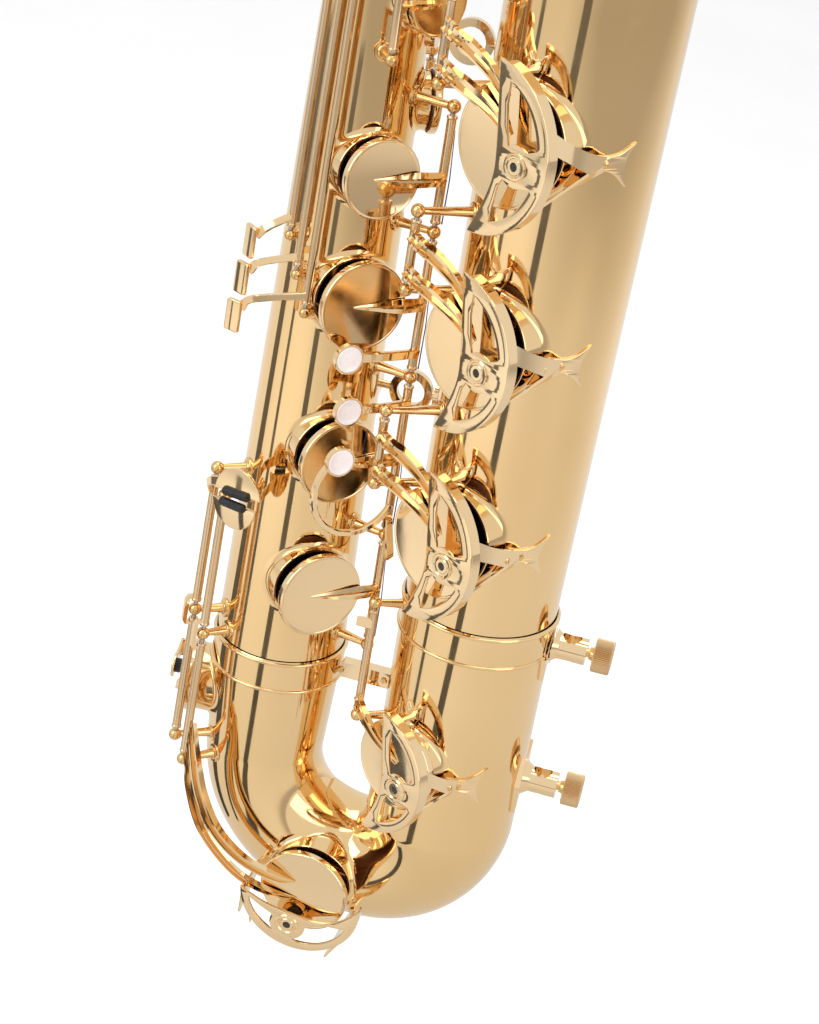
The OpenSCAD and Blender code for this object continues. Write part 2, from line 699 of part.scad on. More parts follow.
module c_sharp_guard() {
    color(brass) bell_guard(c_sharp_az, c_sharp_y, c_sharp_hx, c_sharp_hz, 0, 0.86, c_sharp_lift);
}
// Guard over the low C cup: a round plate with two windows, on two feet.
c_guard_z = c_rim + 20;
module c_guard() {
    color(brass) difference() {
        on_bow(c_around, c_across) rotate([0, 0, -90]) {
            translate([0, 0, c_guard_z]) linear_extrude(guard_t) difference() {
                intersection() {
                    circle(42);
                    translate([-60, -78]) square([120, 76]);
                }
                difference() {
                    circle(35);
                    translate([-60, -14]) square([120, 60]);
                    translate(c_boss) circle(bumper_r + 6);
                    translate([-3, -42]) square([6, 30]);
                }
                translate(c_boss) circle(bumper_r + 1.4);
            }
            translate([c_boss[0], c_boss[1], c_guard_z - 2.5]) difference() {
                cylinder(r = bumper_r + 3.4, h = guard_t + 3.4);
                translate([0, 0, -1]) cylinder(r = bumper_r + 0.05, h = 8);
            }
            for (s = [-1, 1]) rotate([0, 0, -s * 14]) translate([s * 40.4 - 0.8, -12, 20])
                rotate([90, 0, 90]) linear_extrude(1.6)
                    polygon([[-7, 0], [5, 0], [5, c_guard_z - 19], [-14, c_guard_z - 19]]);
        }
        tube_walls();
        plate_sweep(gap);
    }
}
// Small guard over the E flat cup.
e_flat_lift = e_flat_rim + 17.5;
module e_flat_guard() {
    color(brass) difference() {
        on_body(e_flat_az, e_flat_y) {
            translate([0, 0, e_flat_lift]) linear_extrude(guard_t) difference() {
                hull_strip(28.6, 13);
                translate([-6, 0]) circle(bumper_r + 0.05);
            }
            translate([-32, -6.5, 30]) cube([1.6, 13, e_flat_lift - 28.2]);
        }
        tube_walls();
        translate([body_x, 0, body_foot_z - 24.6]) cylinder(r = body_r + 3.4, h = 30);
    }
}
// Flat bar from the guard's leg to a rounded end over the cup.
module hull_strip(reach, w) {
    translate([-32, -w / 2]) square([26, w]);
    translate([-6, 0]) circle(w / 2 + 1);
}
module bumper(z0, z1) {
    translate([0, 0, z0]) cylinder(r = bumper_r - 0.4, h = 2.2);
    translate([0, 0, z0 + 2.2]) difference() {
        cylinder(r = bumper_r, h = z1 - z0 - 2.2);
        translate([-0.5, -6, z1 - z0 - 3.4]) cube([1, 12, 3]);
    }
}
cup_face = cup_top(bell_rim);
module bell_bumper(az, y, hx, hz, open, k, z0, lift = 0) {
    on_bell(az, y) turned(hx, hz, -open) translate([boss[0] * k, boss[1] * k, 0])
        bumper(z0, guard_z0 + lift + 2.6);
}
module guard_bumpers() {
    color(black) {
        bell_bumper(bell_az, a_y, bell_hx, bell_hz, bell_key_open, 1, cup_face + gap);
        bell_bumper(bell_az, b_flat_y, bell_hx, bell_hz, bell_key_open, 0.98, cup_face + gap);
        bell_bumper(bell_az, b_y, bell_hx, bell_hz, bell_key_open, 0.97, cup_face + gap);
        bell_bumper(c_sharp_az, c_sharp_y, c_sharp_hx, c_sharp_hz, 0, 0.86,
            guard_z0 + c_sharp_lift - 1.8, c_sharp_lift);
        on_bow(c_around, c_across) rotate([0, 0, -90]) translate([c_boss[0], c_boss[1], 0])
            bumper(c_guard_z - 4, c_guard_z + 2.6);
        on_body(e_flat_az, e_flat_y) translate([-6, 0, 0])
            bumper(e_flat_lift - 4, e_flat_lift + 2.4);
    }
}
// Slotted round-head screw along z, its head at the origin.
module screw(r = 2.4) {
    difference() {
        union() {
            cylinder(r1 = r, r2 = r * 0.75, h = 1.5);
            translate([0, 0, -1.4]) cylinder(r = r * 0.5, h = 1.5);
        }
        translate([-0.3, -r, 0.8]) cube([0.6, 2 * r, 2]);
    }
}
module guard_screw(az, y, k) {
    on_bell(az, y) translate([leg_x * k, leg_y, 32]) rotate([0, leg_lean, 0])
        translate([3.1, 0, 12]) rotate([0, 90, 0]) screw();
}
module screws() {
    color(deep_brass) {
        guard_screw(bell_az, a_y, 1);
        guard_screw(bell_az, b_flat_y, 0.98);
        guard_screw(bell_az, b_y, 0.97);
        guard_screw(c_sharp_az, c_sharp_y, 0.86);
        for (x = [-146, -116]) translate([x, -9.1, 49.5]) rotate([90, 0, 0]) screw();
        translate([up_x + 22, up_y - 4.1, neck_z - 12]) rotate([90, 0, 0]) thumb_head();
        for (z = [22, 36]) neck_end() translate([15, 8.1, mouthpiece_z + z])
            rotate([-90, 0, 0]) thumb_head();
    }
}
module thumb_head() {
    cylinder(r = 4, h = 2);
    translate([-1, -6, 2]) cube([2, 12, 7]);
}

// ---------- peg receivers ----------
shank_r = 3;
post_r = 8.8;
peg_screw_x = 12;
module peg_receiver(z) {
    wall_x = bell_x + bell_r - 6;
    difference() {
        union() {
            translate([wall_x, 0, z]) rotate([0, 90, 0]) {
                cylinder(r = post_r, h = peg_screw_x - 1 - wall_x);
                cylinder(r1 = 17, r2 = post_r, h = 12);
            }
            translate([-peg_reach + 30, 0, z]) rotate([90, 0, 90]) linear_extrude(bell_r - 28.6)
                polygon([[-13, 22], [0, 10], [13, 22], [16, 0], [13, -22], [0, -10], [-13, -22],
                    [-16, 0]]);
        }
        tube_walls();
        translate([bell_x, 0, bell_foot_z - 24.6]) cylinder(r = bell_r + 3.2, h = 32, $fn = 128);
        translate([0, 0, z - 20]) cylinder(r = peg_bore_r, h = 40);
        translate([0, 0, z]) rotate([0, 90, 0]) cylinder(r = shank_r + bore_clear, h = 40);
    }
}
module peg_screw(z) {
    color(deep_brass) translate([peg_bore_r + 0.6, 0, z]) rotate([0, 90, 0]) {
        cylinder(r = shank_r, h = 12);
        translate([0, 0, 6]) cylinder(r1 = 4, r2 = 5, h = 4);
        translate([0, 0, 9]) difference() {
            cylinder(r = 11.3, h = 12);
            for (a = [0:10:350]) rotate([0, 0, a]) translate([11.7, 0, -1]) cylinder(r = 0.8, h = 14);
        }
    }
}
module lower_peg_receiver() {
    color(brass) peg_receiver(0);
}
module upper_peg_receiver() {
    color(brass) peg_receiver(peg_pitch);
}
module lower_peg_screw() {
    peg_screw(0);
}
module upper_peg_screw() {
    peg_screw(peg_pitch);
}

// ---------- bell keys ----------
// Bent strip of width w and depth h through a list of points.
module strip(points, w, h) {
    for (i = [0:len(points) - 2]) let (d = points[i + 1] - points[i])
        translate(points[i]) rotate([0, acos(d[2] / norm(d)), atan2(d[1], d[0])])
            translate([-h / 2, -w / 2, -w / 4]) cube([h, w, norm(d) + w / 2]);
}
// Two rails that carry a bell cup from its hinge tube.
module bell_key_arms(hx, hz, top, k) {
    strip([[hx, 36, hz], [hx + 11, 28, hz - 4], [4 * k, 7, top + 2]], 6, 4);
    strip([[hx, 58, hz], [hx + 11, 50, hz - 4], [-3 * k, 26, top + 2]], 6, 4);
}
module bell_key(y, r, reach) {
    color(brass) on_bell(bell_az, y) turned(bell_hx, bell_hz, -bell_key_open) difference() {
        union() {
            cup(r, bell_rim);
            hinge_tube(bell_hx, bell_hz, 27.5, reach);
            bell_key_arms(bell_hx, bell_hz, cup_face, r / a_r);
        }
        rod_bore(bell_hx, bell_hz, 20, 90);
    }
}
module low_a_key() {
    bell_key(a_y, a_r, 72.5);
}
module b_flat_key() {
    bell_key(b_flat_y, b_flat_r, 66.5);
}
module b_key() {
    bell_key(b_y, b_r, 66.5);
}
module bell_pad(y, r) {
    color(leather) on_bell(bell_az, y) turned(bell_hx, bell_hz, -bell_key_open) pad(r, bell_rim);
}
module low_a_pad() {
    bell_pad(a_y, a_r);
}
module b_flat_pad() {
    bell_pad(b_flat_y, b_flat_r);
}
module b_pad() {
    bell_pad(b_y, b_r);
}
module c_sharp_key() {
    color(brass) on_bell(c_sharp_az, c_sharp_y) difference() {
        union() {
            cup(c_sharp_r, c_sharp_rim);
            hinge_tube(c_sharp_hx, c_sharp_hz, 22, 98);
            strip([[c_sharp_hx, 32, c_sharp_hz], [c_sharp_hx + 4, 26, 62.4], [2, 4, 61]], 6, 4);
            strip([[c_sharp_hx, 88, c_sharp_hz], [c_sharp_hx - 8, 88, c_sharp_hz + 6]], 8, 3);
        }
        rod_bore(c_sharp_hx, c_sharp_hz, 10, 110);
    }
}
module c_sharp_pad() {
    color(leather) on_bell(c_sharp_az, c_sharp_y) pad(c_sharp_r, c_sharp_rim);
}

// ---------- low C and E flat keys ----------
module off_body(az) {
    rotate([-90 + atan(body_taper), 0, 0]) rotate([0, 0, -az])
        translate([-body_x, 0, -body_foot_z]) children();
}
c_open = 4;
module c_turned() {
    on_body(low_rod_az) turned(0, low_rod_z, -c_open) children();
}
// Bar that steps over a post and joins two lengths of hinge tube.
module bridge(z, y1, y2) {
    for (y = [y1, y2]) translate([-1.5, y - 1.5, z + 1.9]) cube([3, 3, 6]);
    translate([-1.5, y1 - 1.5, z + 4.9]) cube([3, y2 - y1 + 3, 3]);
}
// Each arm as a run of places over the bow: [around, across, out].
c_arms = [[[-4, 48, 62], [3, 56, 62], [13, 56, 60.5], [30, 54, 58.5], [48, 60, 56.5],
        [62, 70, 54.6], [74, 77, 53]],
    [[-12, 48, 62], [-2, 60, 62], [12, 66, 61], [28, 70, 59], [44, 77, 56.5], [60, 86, 54.4],
        [68, 90, 53]]];
module c_key() {
    color(brass) c_turned() difference() {
        union() {
            off_body(low_rod_az) {
                on_bow(c_around, c_across) cup(c_r, c_rim);
                for (arm = c_arms) strip([for (p = arm) bow_point(p[0], p[1], p[2])], 5, 4);
            }
            hinge_tube(0, low_rod_z, -86, -1);
            hinge_tube(0, low_rod_z, 12.5, 102);
            bridge(low_rod_z, -4, 15.5);
            strip([[0, 96, low_rod_z], [14, 108, 66]], 6, 3);
            touch_plate([25, 118, 67], -1);
        }
        rod_bore(0, low_rod_z, -98, 112);
    }
}
module touch_plate(c, side) {
    translate(c) rotate([0, 0, 38]) {
        linear_extrude(2.2) intersection() {
            circle(17);
            translate([-20, side > 0 ? 1.2 : -21.2]) square([40, 20]);
        }
        translate([-9, side * 5, 3]) rotate([0, 90, 0]) cylinder(r = 3, h = 20);
    }
}
module c_pad() {
    color(leather) c_turned() off_body(low_rod_az) on_bow(c_around, c_across) pad(c_r, c_rim);
}
module e_flat_key() {
    hx = 28.5;
    hz = 56.7;
    color(brass) difference() {
        union() {
            on_body(e_flat_az, e_flat_y) cup(e_flat_r, e_flat_rim);
            on_body(e_rod_az) {
                hinge_tube(0, e_rod_z, -74, 11.5);
                hinge_tube(0, e_rod_z, 24.5, 116);
                bridge(e_rod_z, 8.5, 27.5);
                strip([[0, 107, e_rod_z], [8, 117, 69], [31, 127, 63.4]], 6, 3);
            }
            on_body(e_flat_az, e_flat_y) strip([[hx, 4, hz + 0.6], [0, 0, hz + 0.6]], 8, 4);
            on_body(low_rod_az) touch_plate([25, 120, 67], 1);
        }
        on_body(e_rod_az) rod_bore(0, e_rod_z, -86, 126);
    }
}
module e_flat_pad() {
    color(leather) on_body(e_flat_az, e_flat_y) pad(e_flat_r, e_flat_rim);
}

// ---------- lower stack ----------
module stack_turned() {
    on_body(stack_az) turned(stack_hx, stack_hz, stack_open) children();
}
module leaf_arm(y, r) {
    translate([0, y, cup_top(rim) - 0.2]) linear_extrude(2.2)
        polygon([[stack_hx, 5], [stack_hx, -5], [r - 6, -4.5], [2, -2.6], [-8, 0], [2, 2.2],
            [r - 6, 3.5]]);
}
module stack_key(y, r, i) {
    translate([0, y, 0]) cup(r, rim);
    leaf_arm(y, r);
    hinge_tube(stack_hx, stack_hz, stack_posts[i] + 5.5, stack_posts[i + 1] - 5.5);
}
module stack_bore() {
    rod_bore(stack_hx, stack_hz, 5, 390);
}
module f_sharp_key() {
    color(brass) stack_turned() difference() {
        stack_key(f_sharp_y, f_sharp_r, 3);
        stack_bore();
    }
}
module f_key() {
    color(brass) stack_turned() difference() {
        union() {
            stack_key(f_y, f_r, 2);
            strip([[stack_hx, 224, stack_hz + 1], [16, 226, 60], [-4, 227, 61]], 6, 3.4);
            pearl_touch(-11, 227, 65);
        }
        stack_bore();
    }
}
module e_key() {
    color(brass) stack_turned() difference() {
        union() {
            stack_key(e_y, e_r, 1);
            strip([[stack_hx, 190, stack_hz + 1], [16, 191, 58], [0, 192, 61]], 6, 3.4);
            pearl_touch(-6, 192, 65);
        }
        stack_bore();
    }
}
module d_key() {
    arc_r = 30;
    color(brass) stack_turned() difference() {
        union() {
            stack_key(d_y, d_r, 0);
            strip([[stack_hx, 88, stack_hz + 1], [37, 90, 66], [33, 106, 68], [28, 122, 74]],
                6, 3.4);
            translate([2, e_y - 10, 72]) rotate([0, 0, 135]) rotate_extrude(angle = 200)
                translate([arc_r - 2, 0]) square([4, 3]);
            pearl_touch(-14, 165, 78);
        }
        stack_bore();
        rod_bore(stack_hx, stack_hz, 91.5, 130);
    }
}
module stack_pad(y, r) {
    color(leather) stack_turned() translate([0, y, 0]) pad(r, rim);
}
module f_sharp_pad() {
    stack_pad(f_sharp_y, f_sharp_r);
}
module f_pad() {
    stack_pad(f_y, f_r);
}
module e_pad() {
    stack_pad(e_y, e_r);
}
module d_pad() {
    stack_pad(d_y, d_r);
}

// ---------- upper keys ----------
upper_open = 10;
module upper_key(i, y, r, reach = 22) {
    color(brass) on_body(upper_az) turned(upper_hx, upper_hz, -upper_open) {
        difference() {
            union() {
                translate([0, y, 0]) cup(r, rim);
                translate([0, y, 0]) flat_bar([upper_hx, 0], [0, 0], 6, 4, cup_top(rim) - 0.2, 2.2);
                hinge_tube(upper_hx, upper_hz, upper_posts[i] + 5.2, upper_posts[i + 1] - 5.2);
                translate([0, y + reach, 0])
                    flat_bar([upper_hx, 0], [upper_hx + 20, 0], 6, 5, 56, 2.2);
                translate([upper_hx, y + reach - 2.5, 54]) cube([4, 5, 3]);
                pearl_touch(upper_hx + 24, y + reach, 62);
            }
            rod_bore(upper_hx, upper_hz, 400, 600);
        }
        translate([0, y, 0]) pad(r, rim);
    }
}
module g_key() {
    upper_key(0, 440, 20);
}
module a_key() {
    upper_key(1, 500, 18.5);
}
module b_stack_key() {
    upper_key(2, 556, 17, 16);
}
module g_sharp_key() {
    color(brass) on_body(g_sharp_az) difference() {
        union() {
            translate([0, 372, 0]) cup(20, rim);
            translate([0, 372, 0]) flat_bar([26, 0], [0, 0], 6, 4, cup_top(rim) - 0.2, 2.2);
            hinge_tube(26, upper_hz, 355.5, 390.5);
        }
        rod_bore(26, upper_hz, 340, 400);
    }
    color(leather) on_body(g_sharp_az, 372) pad(20, rim);
}
// Side key: a rounded touch at the lower end of a long tube, a cup at the top.
module side_key(i, cup_az, cup_y, cup_r) {
    low = 293.5 - 22 * i;
    high = side_y[i] + 12.5;
    dx = side_rod_z * tan(cup_az - side_rods[i]);
    color(brass) on_body(side_rods[i]) difference() {
        union() {
            hinge_tube(0, side_rod_z, low, side_mid[i] - 5.5, 2.6);
            hinge_tube(0, side_rod_z, side_mid[i] + 5.5, high, 2.6);
            translate([-1.8, side_mid[i] - 10, side_rod_z + 4.2]) cube([3.6, 20, 2.2]);
            for (y = [side_mid[i] - 10, side_mid[i] + 5.9])
                translate([-1.8, y, side_rod_z + 1.9]) cube([3.6, 4.1, 4.5]);
        }
        rod_bore(0, side_rod_z, 240, 730);
    }
    color(brass) difference() {
        union() {
            on_body(cup_az, cup_y) cup(cup_r, rim);
            on_body(side_rods[i]) strip([[0, cup_y, side_rod_z + 1.2], [dx, cup_y, side_rod_z + 2.6]],
                6, 2.6);
        }
        on_body(side_rods[i]) rod_bore(0, side_rod_z, 240, 730);
    }
    color(leather) on_body(cup_az, cup_y) pad(cup_r, rim);
    color(brass) on_body(side_rods[i]) difference() {
        union() {
            strip([[0, low + 6, side_rod_z], [-8 - 11 * i, low - 2, 62], [-14 - 11 * i, low - 9, 66]],
                4.5, 3);
            translate([-17 - 11 * i, low - 14, 66]) rotate([0, -28, 0]) side_touch();
        }
        rod_bore(0, side_rod_z, 240, 730);
    }
}
module side_touch() {
    translate([-5.2, -10.2, 0]) linear_extrude(3) {
        translate([1.5, 0]) square([7.4, 20.4]);
        translate([0, 1.5]) square([10.4, 17.4]);
        for (x = [1.5, 8.9], y = [1.5, 18.9]) translate([x, y]) circle(1.5);
    }
}
module side_e_key() {
    side_key(0, -8, 690, 11);
}
module side_c_key() {
    side_key(1, 4, 575, 12);
}
module side_b_flat_key() {
    side_key(2, 14, 508, 11);
}
// Palm key: a cup, a short tube and a raised palm touch.
module palm_key(i, r) {
    y = 590 + 50 * i;
    color(brass) difference() {
        union() {
            on_body(-105, y) cup(r, rim);
            on_body(palm_az) {
                hinge_tube(0, palm_z, y - 11, y + 11, 2.6);
                strip([[0, y, palm_z + 2], [9, y, palm_z + 5.2], [15, y, palm_z + 4.6]], 6, 3);
                strip([[0, y, palm_z + 1.5], [-12, y - 12, 60]], 6, 3);
                translate([-13, y - 26, 59]) linear_extrude(3)
                    polygon([[-6, 0], [6, 0], [7, 16], [0, 22], [-7, 16]]);
            }
        }
        on_body(palm_az) rod_bore(0, palm_z, 570, 720);
    }
    color(leather) on_body(-105, y) pad(r, rim);
}
module palm_d_key() {
    palm_key(0, 12);
}
module palm_e_flat_key() {
    palm_key(1, 11.5);
}
module palm_f_key() {
    palm_key(2, 11);
}
module octave_key() {
    color(brass) on_body(octave_az) difference() {
        union() {
            hinge_tube(0, palm_z, 579, 635, 2.6);
            strip([[0, 584, palm_z + 1.5], [11, 582, 58]], 7, 3);
            translate([15, 578, 57]) linear_extrude(3) circle(8);
            strip([[0, 628, palm_z + 1.5], [-10, 634, 57]], 6, 3);
        }
        rod_bore(0, palm_z, 550, 650);
    }
}
// Octave key on the neck: a rocking lever with a small pad cup over the pip.
module neck_octave_key() {
    color(brass) neck_end() difference() {
        union() {
            translate([neck_hx, -5, neck_hz]) rotate([-90, 0, 0]) cylinder(r = 2.8, h = 10);
            translate([-23.2, 0, 18]) rotate([0, 90, 0]) cylinder(r = 4.6, h = 2.6);
            translate([-23.2, -2, neck_hz - 1]) cube([2.4, 4, 22]);
            strip([[-20.6, 0, neck_hz], [-22, 0, -10], [-20.5, 0, -24]], 5, 2.4);
        }
        translate([neck_hx, -10, neck_hz]) rotate([-90, 0, 0])
            cylinder(r = rod_r + bore_clear, h = 20);
    }
    color(leather) neck_end() translate([-20.6, 0, 18]) rotate([0, 90, 0])
        cylinder(r = 4, h = 1.7);
}

body_tube();
lower_bow();
bow_ferrules();
bow_plate();
bell();
braces();
upper_bow();
neck();
neck_cork();
mouthpiece();
ligature();
reed();
body_fittings();
posts();
hinge_rods();
needle_springs();
low_a_guard();
b_flat_guard();
b_guard();
c_sharp_guard();
c_guard();
e_flat_guard();
guard_bumpers();
screws();
upper_peg_receiver();
lower_peg_receiver();
upper_peg_screw();
lower_peg_screw();
low_a_key();
low_a_pad();
b_flat_key();
b_flat_pad();
b_key();
b_pad();
c_sharp_key();
c_sharp_pad();
c_key();
c_pad();
e_flat_key();
e_flat_pad();
d_key();
d_pad();
e_key();
e_pad();
f_key();
f_pad();
f_sharp_key();
f_sharp_pad();
g_key();
a_key();
b_stack_key();
g_sharp_key();
side_e_key();
side_c_key();
side_b_flat_key();
palm_d_key();
palm_e_flat_key();
palm_f_key();
octave_key();
neck_octave_key();
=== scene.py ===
"""Low-A baritone saxophone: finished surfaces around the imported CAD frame.

Lengths are in millimetres until a mesh is made. Local frames stand on a tube, with
x to the right, y up along the tube and z outwards.
"""
import math

import bmesh
import bpy
from mathutils import Matrix, Vector


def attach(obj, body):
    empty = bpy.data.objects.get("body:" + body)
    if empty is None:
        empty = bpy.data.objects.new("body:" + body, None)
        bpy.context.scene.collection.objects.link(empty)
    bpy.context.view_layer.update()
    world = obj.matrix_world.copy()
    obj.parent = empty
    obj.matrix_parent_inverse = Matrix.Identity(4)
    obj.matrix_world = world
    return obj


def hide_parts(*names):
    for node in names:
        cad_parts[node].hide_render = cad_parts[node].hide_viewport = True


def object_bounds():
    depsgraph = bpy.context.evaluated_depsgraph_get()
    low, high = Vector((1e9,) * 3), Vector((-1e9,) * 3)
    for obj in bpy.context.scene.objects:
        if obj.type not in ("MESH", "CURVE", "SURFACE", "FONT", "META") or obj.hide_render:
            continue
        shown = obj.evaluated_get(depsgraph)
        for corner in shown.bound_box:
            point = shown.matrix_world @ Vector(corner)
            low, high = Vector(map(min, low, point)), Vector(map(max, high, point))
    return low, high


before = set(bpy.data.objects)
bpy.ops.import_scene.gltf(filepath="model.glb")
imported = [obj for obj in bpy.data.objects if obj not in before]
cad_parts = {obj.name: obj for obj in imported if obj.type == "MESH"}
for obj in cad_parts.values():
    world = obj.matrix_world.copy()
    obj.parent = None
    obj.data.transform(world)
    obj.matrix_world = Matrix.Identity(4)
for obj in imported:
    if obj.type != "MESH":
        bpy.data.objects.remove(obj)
cad_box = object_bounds()
MM = 0.001
UP = (0, 0, 1)

# ---------------------------------------------------------------- driving sizes
BELL_X = -63.3
BODY_X = -192.1
BODY_R, BODY_FOOT, BODY_TOP, BODY_TAPER = 43.0, 63.0, 830.0, 0.025
BELL_R, BELL_FOOT, BELL_TOP, BELL_TAPER = 50.0, 124.0, 655.0, -0.012
# The bell is straight up to BELL_STRAIGHT and flares from there to its rim.
BELL_STRAIGHT, BELL_RIM_R = 400.0, 89.0
WALL = 1.2
# The bow runs into each tube by BOW_LAP.
BOW_LAP = 12.0
# Faces farther than this from a tube's axis are on the side of the hole.
NEAR_SIDE = 10.0
BEND_R, BOW_LOW = 76.0, -98.0
TURN_R = BELL_X - BODY_X - BEND_R
BEND_Z, TURN_Z = BOW_LOW + BEND_R, BOW_LOW + TURN_R
BOW_R, BOW_BELL_R = 40.0, 50.2
RIM_H, PAD_T, GAP = 5.0, 4.0, 0.3
ROD_R, TUBE_R, SMALL_TUBE_R = 1.6, 2.9, 2.6
POST_BALL, MIDDLE_BALL, SMALL_BALL = 4.3, 4.0, 3.6
HOLE_WALL, PAD_INSET = 1.4, 3.4
RIM = BODY_R + RIM_H
BELL_RIM = BELL_R + RIM_H + 1
BELL_AZ = -25.0
BELL_HX, BELL_HZ, BELL_OPEN = -47.3, 72.8, 8.5
STACK_AZ, STACK_HX, STACK_HZ, STACK_OPEN = 33.0, 41.5, 52.0, 9.5
STACK_POSTS = [16, 97, 207, 302, 380]
C_SHARP = dict(az=-30.0, y=-109.0, r=31.0, rim=54.0, hx=-40.0, hz=58.0)
C_AROUND, C_ACROSS, C_R, C_OPEN = 75.0, 86.0, 31.0, 4.0
C_RIM = BOW_R + RIM_H
E_FLAT = dict(az=-82.0, y=-49.0, r=25.0, rim=50.0)
LOW_ROD_AZ, LOW_ROD_Z = -43.0, 61.5
E_ROD_AZ, E_ROD_Z = -54.0, 64.0
SIDE_RODS, SIDE_ROD_Z, SIDE_Y = [-31, -19, -7], 52.0, [705, 590, 530]
SIDE_MID, SIDE_STEP = [452, 470, 488], 22
PALM_AZ, PALM_HOLE_AZ, PALM_Z = -130.0, -105.0, 50.0
UPPER_AZ, UPPER_HX, UPPER_HZ, UPPER_OPEN = 62.0, -29.0, 52.0, 10.0
UPPER_POSTS = [408, 470, 530, 590]
G_SHARP_AZ, G_SHARP_HX, G_SHARP_Y, G_SHARP_R = 112.0, 26.0, 372.0, 20.0
OCTAVE_AZ = 172.0
PEARL_D = 17.0
# Tilt and turn of the little-finger plates
PLATE_R, PLATE_TILT, PLATE_TURN = 19.0, 18.0, 8.0
# Name: height along the tube and radius of the cup
BELL_KEYS = {"low_a": (321, 36.5), "b_flat": (194, 36.0), "b": (64, 35.5)}
STACK_KEYS = {"d": (58, 28.5), "e": (152, 27.5), "f": (256, 28.5), "f_sharp": (336, 25)}
UPPER_KEYS = {"g": (440, 20), "a": (500, 18.5), "b_stack": (556, 17)}
PALM_KEYS = {"palm_d": (590, 12), "palm_e_flat": (640, 11.5), "palm_f": (690, 11)}
# Name: azimuth, height along the body and radius of the cup
SIDE_KEYS = {"side_e": (-8, 690, 11), "side_c": (4, 575, 12), "side_b_flat": (14, 508, 11)}


# ---------------------------------------------------------------- frames
def move(x, y, z):
    return Matrix.Translation((x, y, z))


def turn(degrees, axis):
    return Matrix.Rotation(math.radians(degrees), 4, axis)


def on_tube(x, foot, taper, azimuth, y):
    lean = 90 - math.degrees(math.atan(taper))
    return move(x, 0, foot) @ turn(azimuth, "Z") @ turn(lean, "X") @ move(0, y, 0)


def on_body(azimuth, y=0):
    return on_tube(BODY_X, BODY_FOOT, BODY_TAPER, azimuth, y)


def on_bell(azimuth, y=0):
    return on_tube(BELL_X, BELL_FOOT, BELL_TAPER, azimuth, y)


def on_bow(around, across):
    return (move(BODY_X + BEND_R, 0, BEND_Z) @ turn(-around, "Y") @ move(-BEND_R, 0, 0)
            @ turn(90, "X") @ turn(across - 90, "Y"))


def bow_point(around, across, out):
    return on_bow(around, across) @ Vector((0, 0, out))


def turned(hx, hz, angle):
    """A key turned about its hinge line, which runs along y through (hx, hz)."""
    return move(hx, 0, hz) @ turn(angle, "Y") @ move(-hx, 0, -hz)


# ---------------------------------------------------------------- materials
def node_tree(name):
    material = bpy.data.materials.new(name)
    material.use_nodes = True
    return material, material.node_tree.nodes, material.node_tree.links


def noise(nodes, links, scale, detail=4.0, stretch=(1, 1, 1)):
    coords = nodes.new("ShaderNodeTexCoord")
    mapping = nodes.new("ShaderNodeMapping")
    mapping.inputs["Scale"].default_value = stretch
    texture = nodes.new("ShaderNodeTexNoise")
    texture.inputs["Scale"].default_value = scale
    texture.inputs["Detail"].default_value = detail
    links.new(coords.outputs["Object"], mapping.inputs["Vector"])
    links.new(mapping.outputs["Vector"], texture.inputs["Vector"])
    return texture.outputs["Fac"]


def ramp(nodes, links, source, low, high, start=0.35, end=0.65):
    out = nodes.new("ShaderNodeMapRange")
    out.inputs["From Min"].default_value = start
    out.inputs["From Max"].default_value = end
    out.inputs["To Min"].default_value = low
    out.inputs["To Max"].default_value = high
    links.new(source, out.inputs["Value"])
    return out.outputs["Result"]


def colour_mix(nodes, links, source, first, second, start=0.35, end=0.65):
    mix = nodes.new("ShaderNodeMix")
    mix.data_type = "RGBA"
    mix.inputs[6].default_value = (*first, 1)
    mix.inputs[7].default_value = (*second, 1)
    links.new(ramp(nodes, links, source, 0, 1, start, end), mix.inputs[0])
    return mix.outputs[2]


def bump(nodes, links, source, strength, distance):
    out = nodes.new("ShaderNodeBump")
    out.inputs["Strength"].default_value = strength
    out.inputs["Distance"].default_value = distance
    links.new(source, out.inputs["Height"])
    return out.outputs["Normal"]


def metal(name, first, second, rough, ripple=0.0, brush=None, coat=0.3, grain=0.05):
    """Metal with slow colour drift, uneven polish and a fine surface."""
    material, nodes, links = node_tree(name)
    shader = nodes["Principled BSDF"]
    shader.inputs["Metallic"].default_value = 1.0
    shader.inputs["Coat Weight"].default_value = coat
    shader.inputs["Coat Roughness"].default_value = 0.04
    drift = noise(nodes, links, 9.0, 3.0)
    links.new(colour_mix(nodes, links, drift, first, second), shader.inputs["Base Color"])
    smear = noise(nodes, links, 60.0, 5.0, brush or (1, 1, 1))
    links.new(ramp(nodes, links, smear, rough * 0.7, rough * 1.5), shader.inputs["Roughness"])
    fine = noise(nodes, links, 14.0 if ripple else 900.0, 2.0, brush or (1, 1, 1))
    links.new(bump(nodes, links, fine, ripple or grain, 0.0006 if ripple else 0.0001),
              shader.inputs["Normal"])
    return material


def soft(name, first, second, rough, scale, bump_strength, sheen=0.0, stretch=(1, 1, 1),
         coat=0.0, subsurface=0.0):
    """Leather, felt, cork, cane, hard rubber and pearl."""
    material, nodes, links = node_tree(name)
    shader = nodes["Principled BSDF"]
    shader.inputs["Sheen Weight"].default_value = sheen
    shader.inputs["Coat Weight"].default_value = coat
    shader.inputs["Coat Roughness"].default_value = 0.08
    shader.inputs["Subsurface Weight"].default_value = subsurface
    shader.inputs["Subsurface Radius"].default_value = (0.002, 0.0015, 0.001)
    grain = noise(nodes, links, scale, 6.0, stretch)
    links.new(colour_mix(nodes, links, grain, first, second), shader.inputs["Base Color"])
    links.new(ramp(nodes, links, grain, rough * 0.8, min(1.0, rough * 1.25)),
              shader.inputs["Roughness"])
    links.new(bump(nodes, links, grain, bump_strength, 0.0004), shader.inputs["Normal"])
    return material


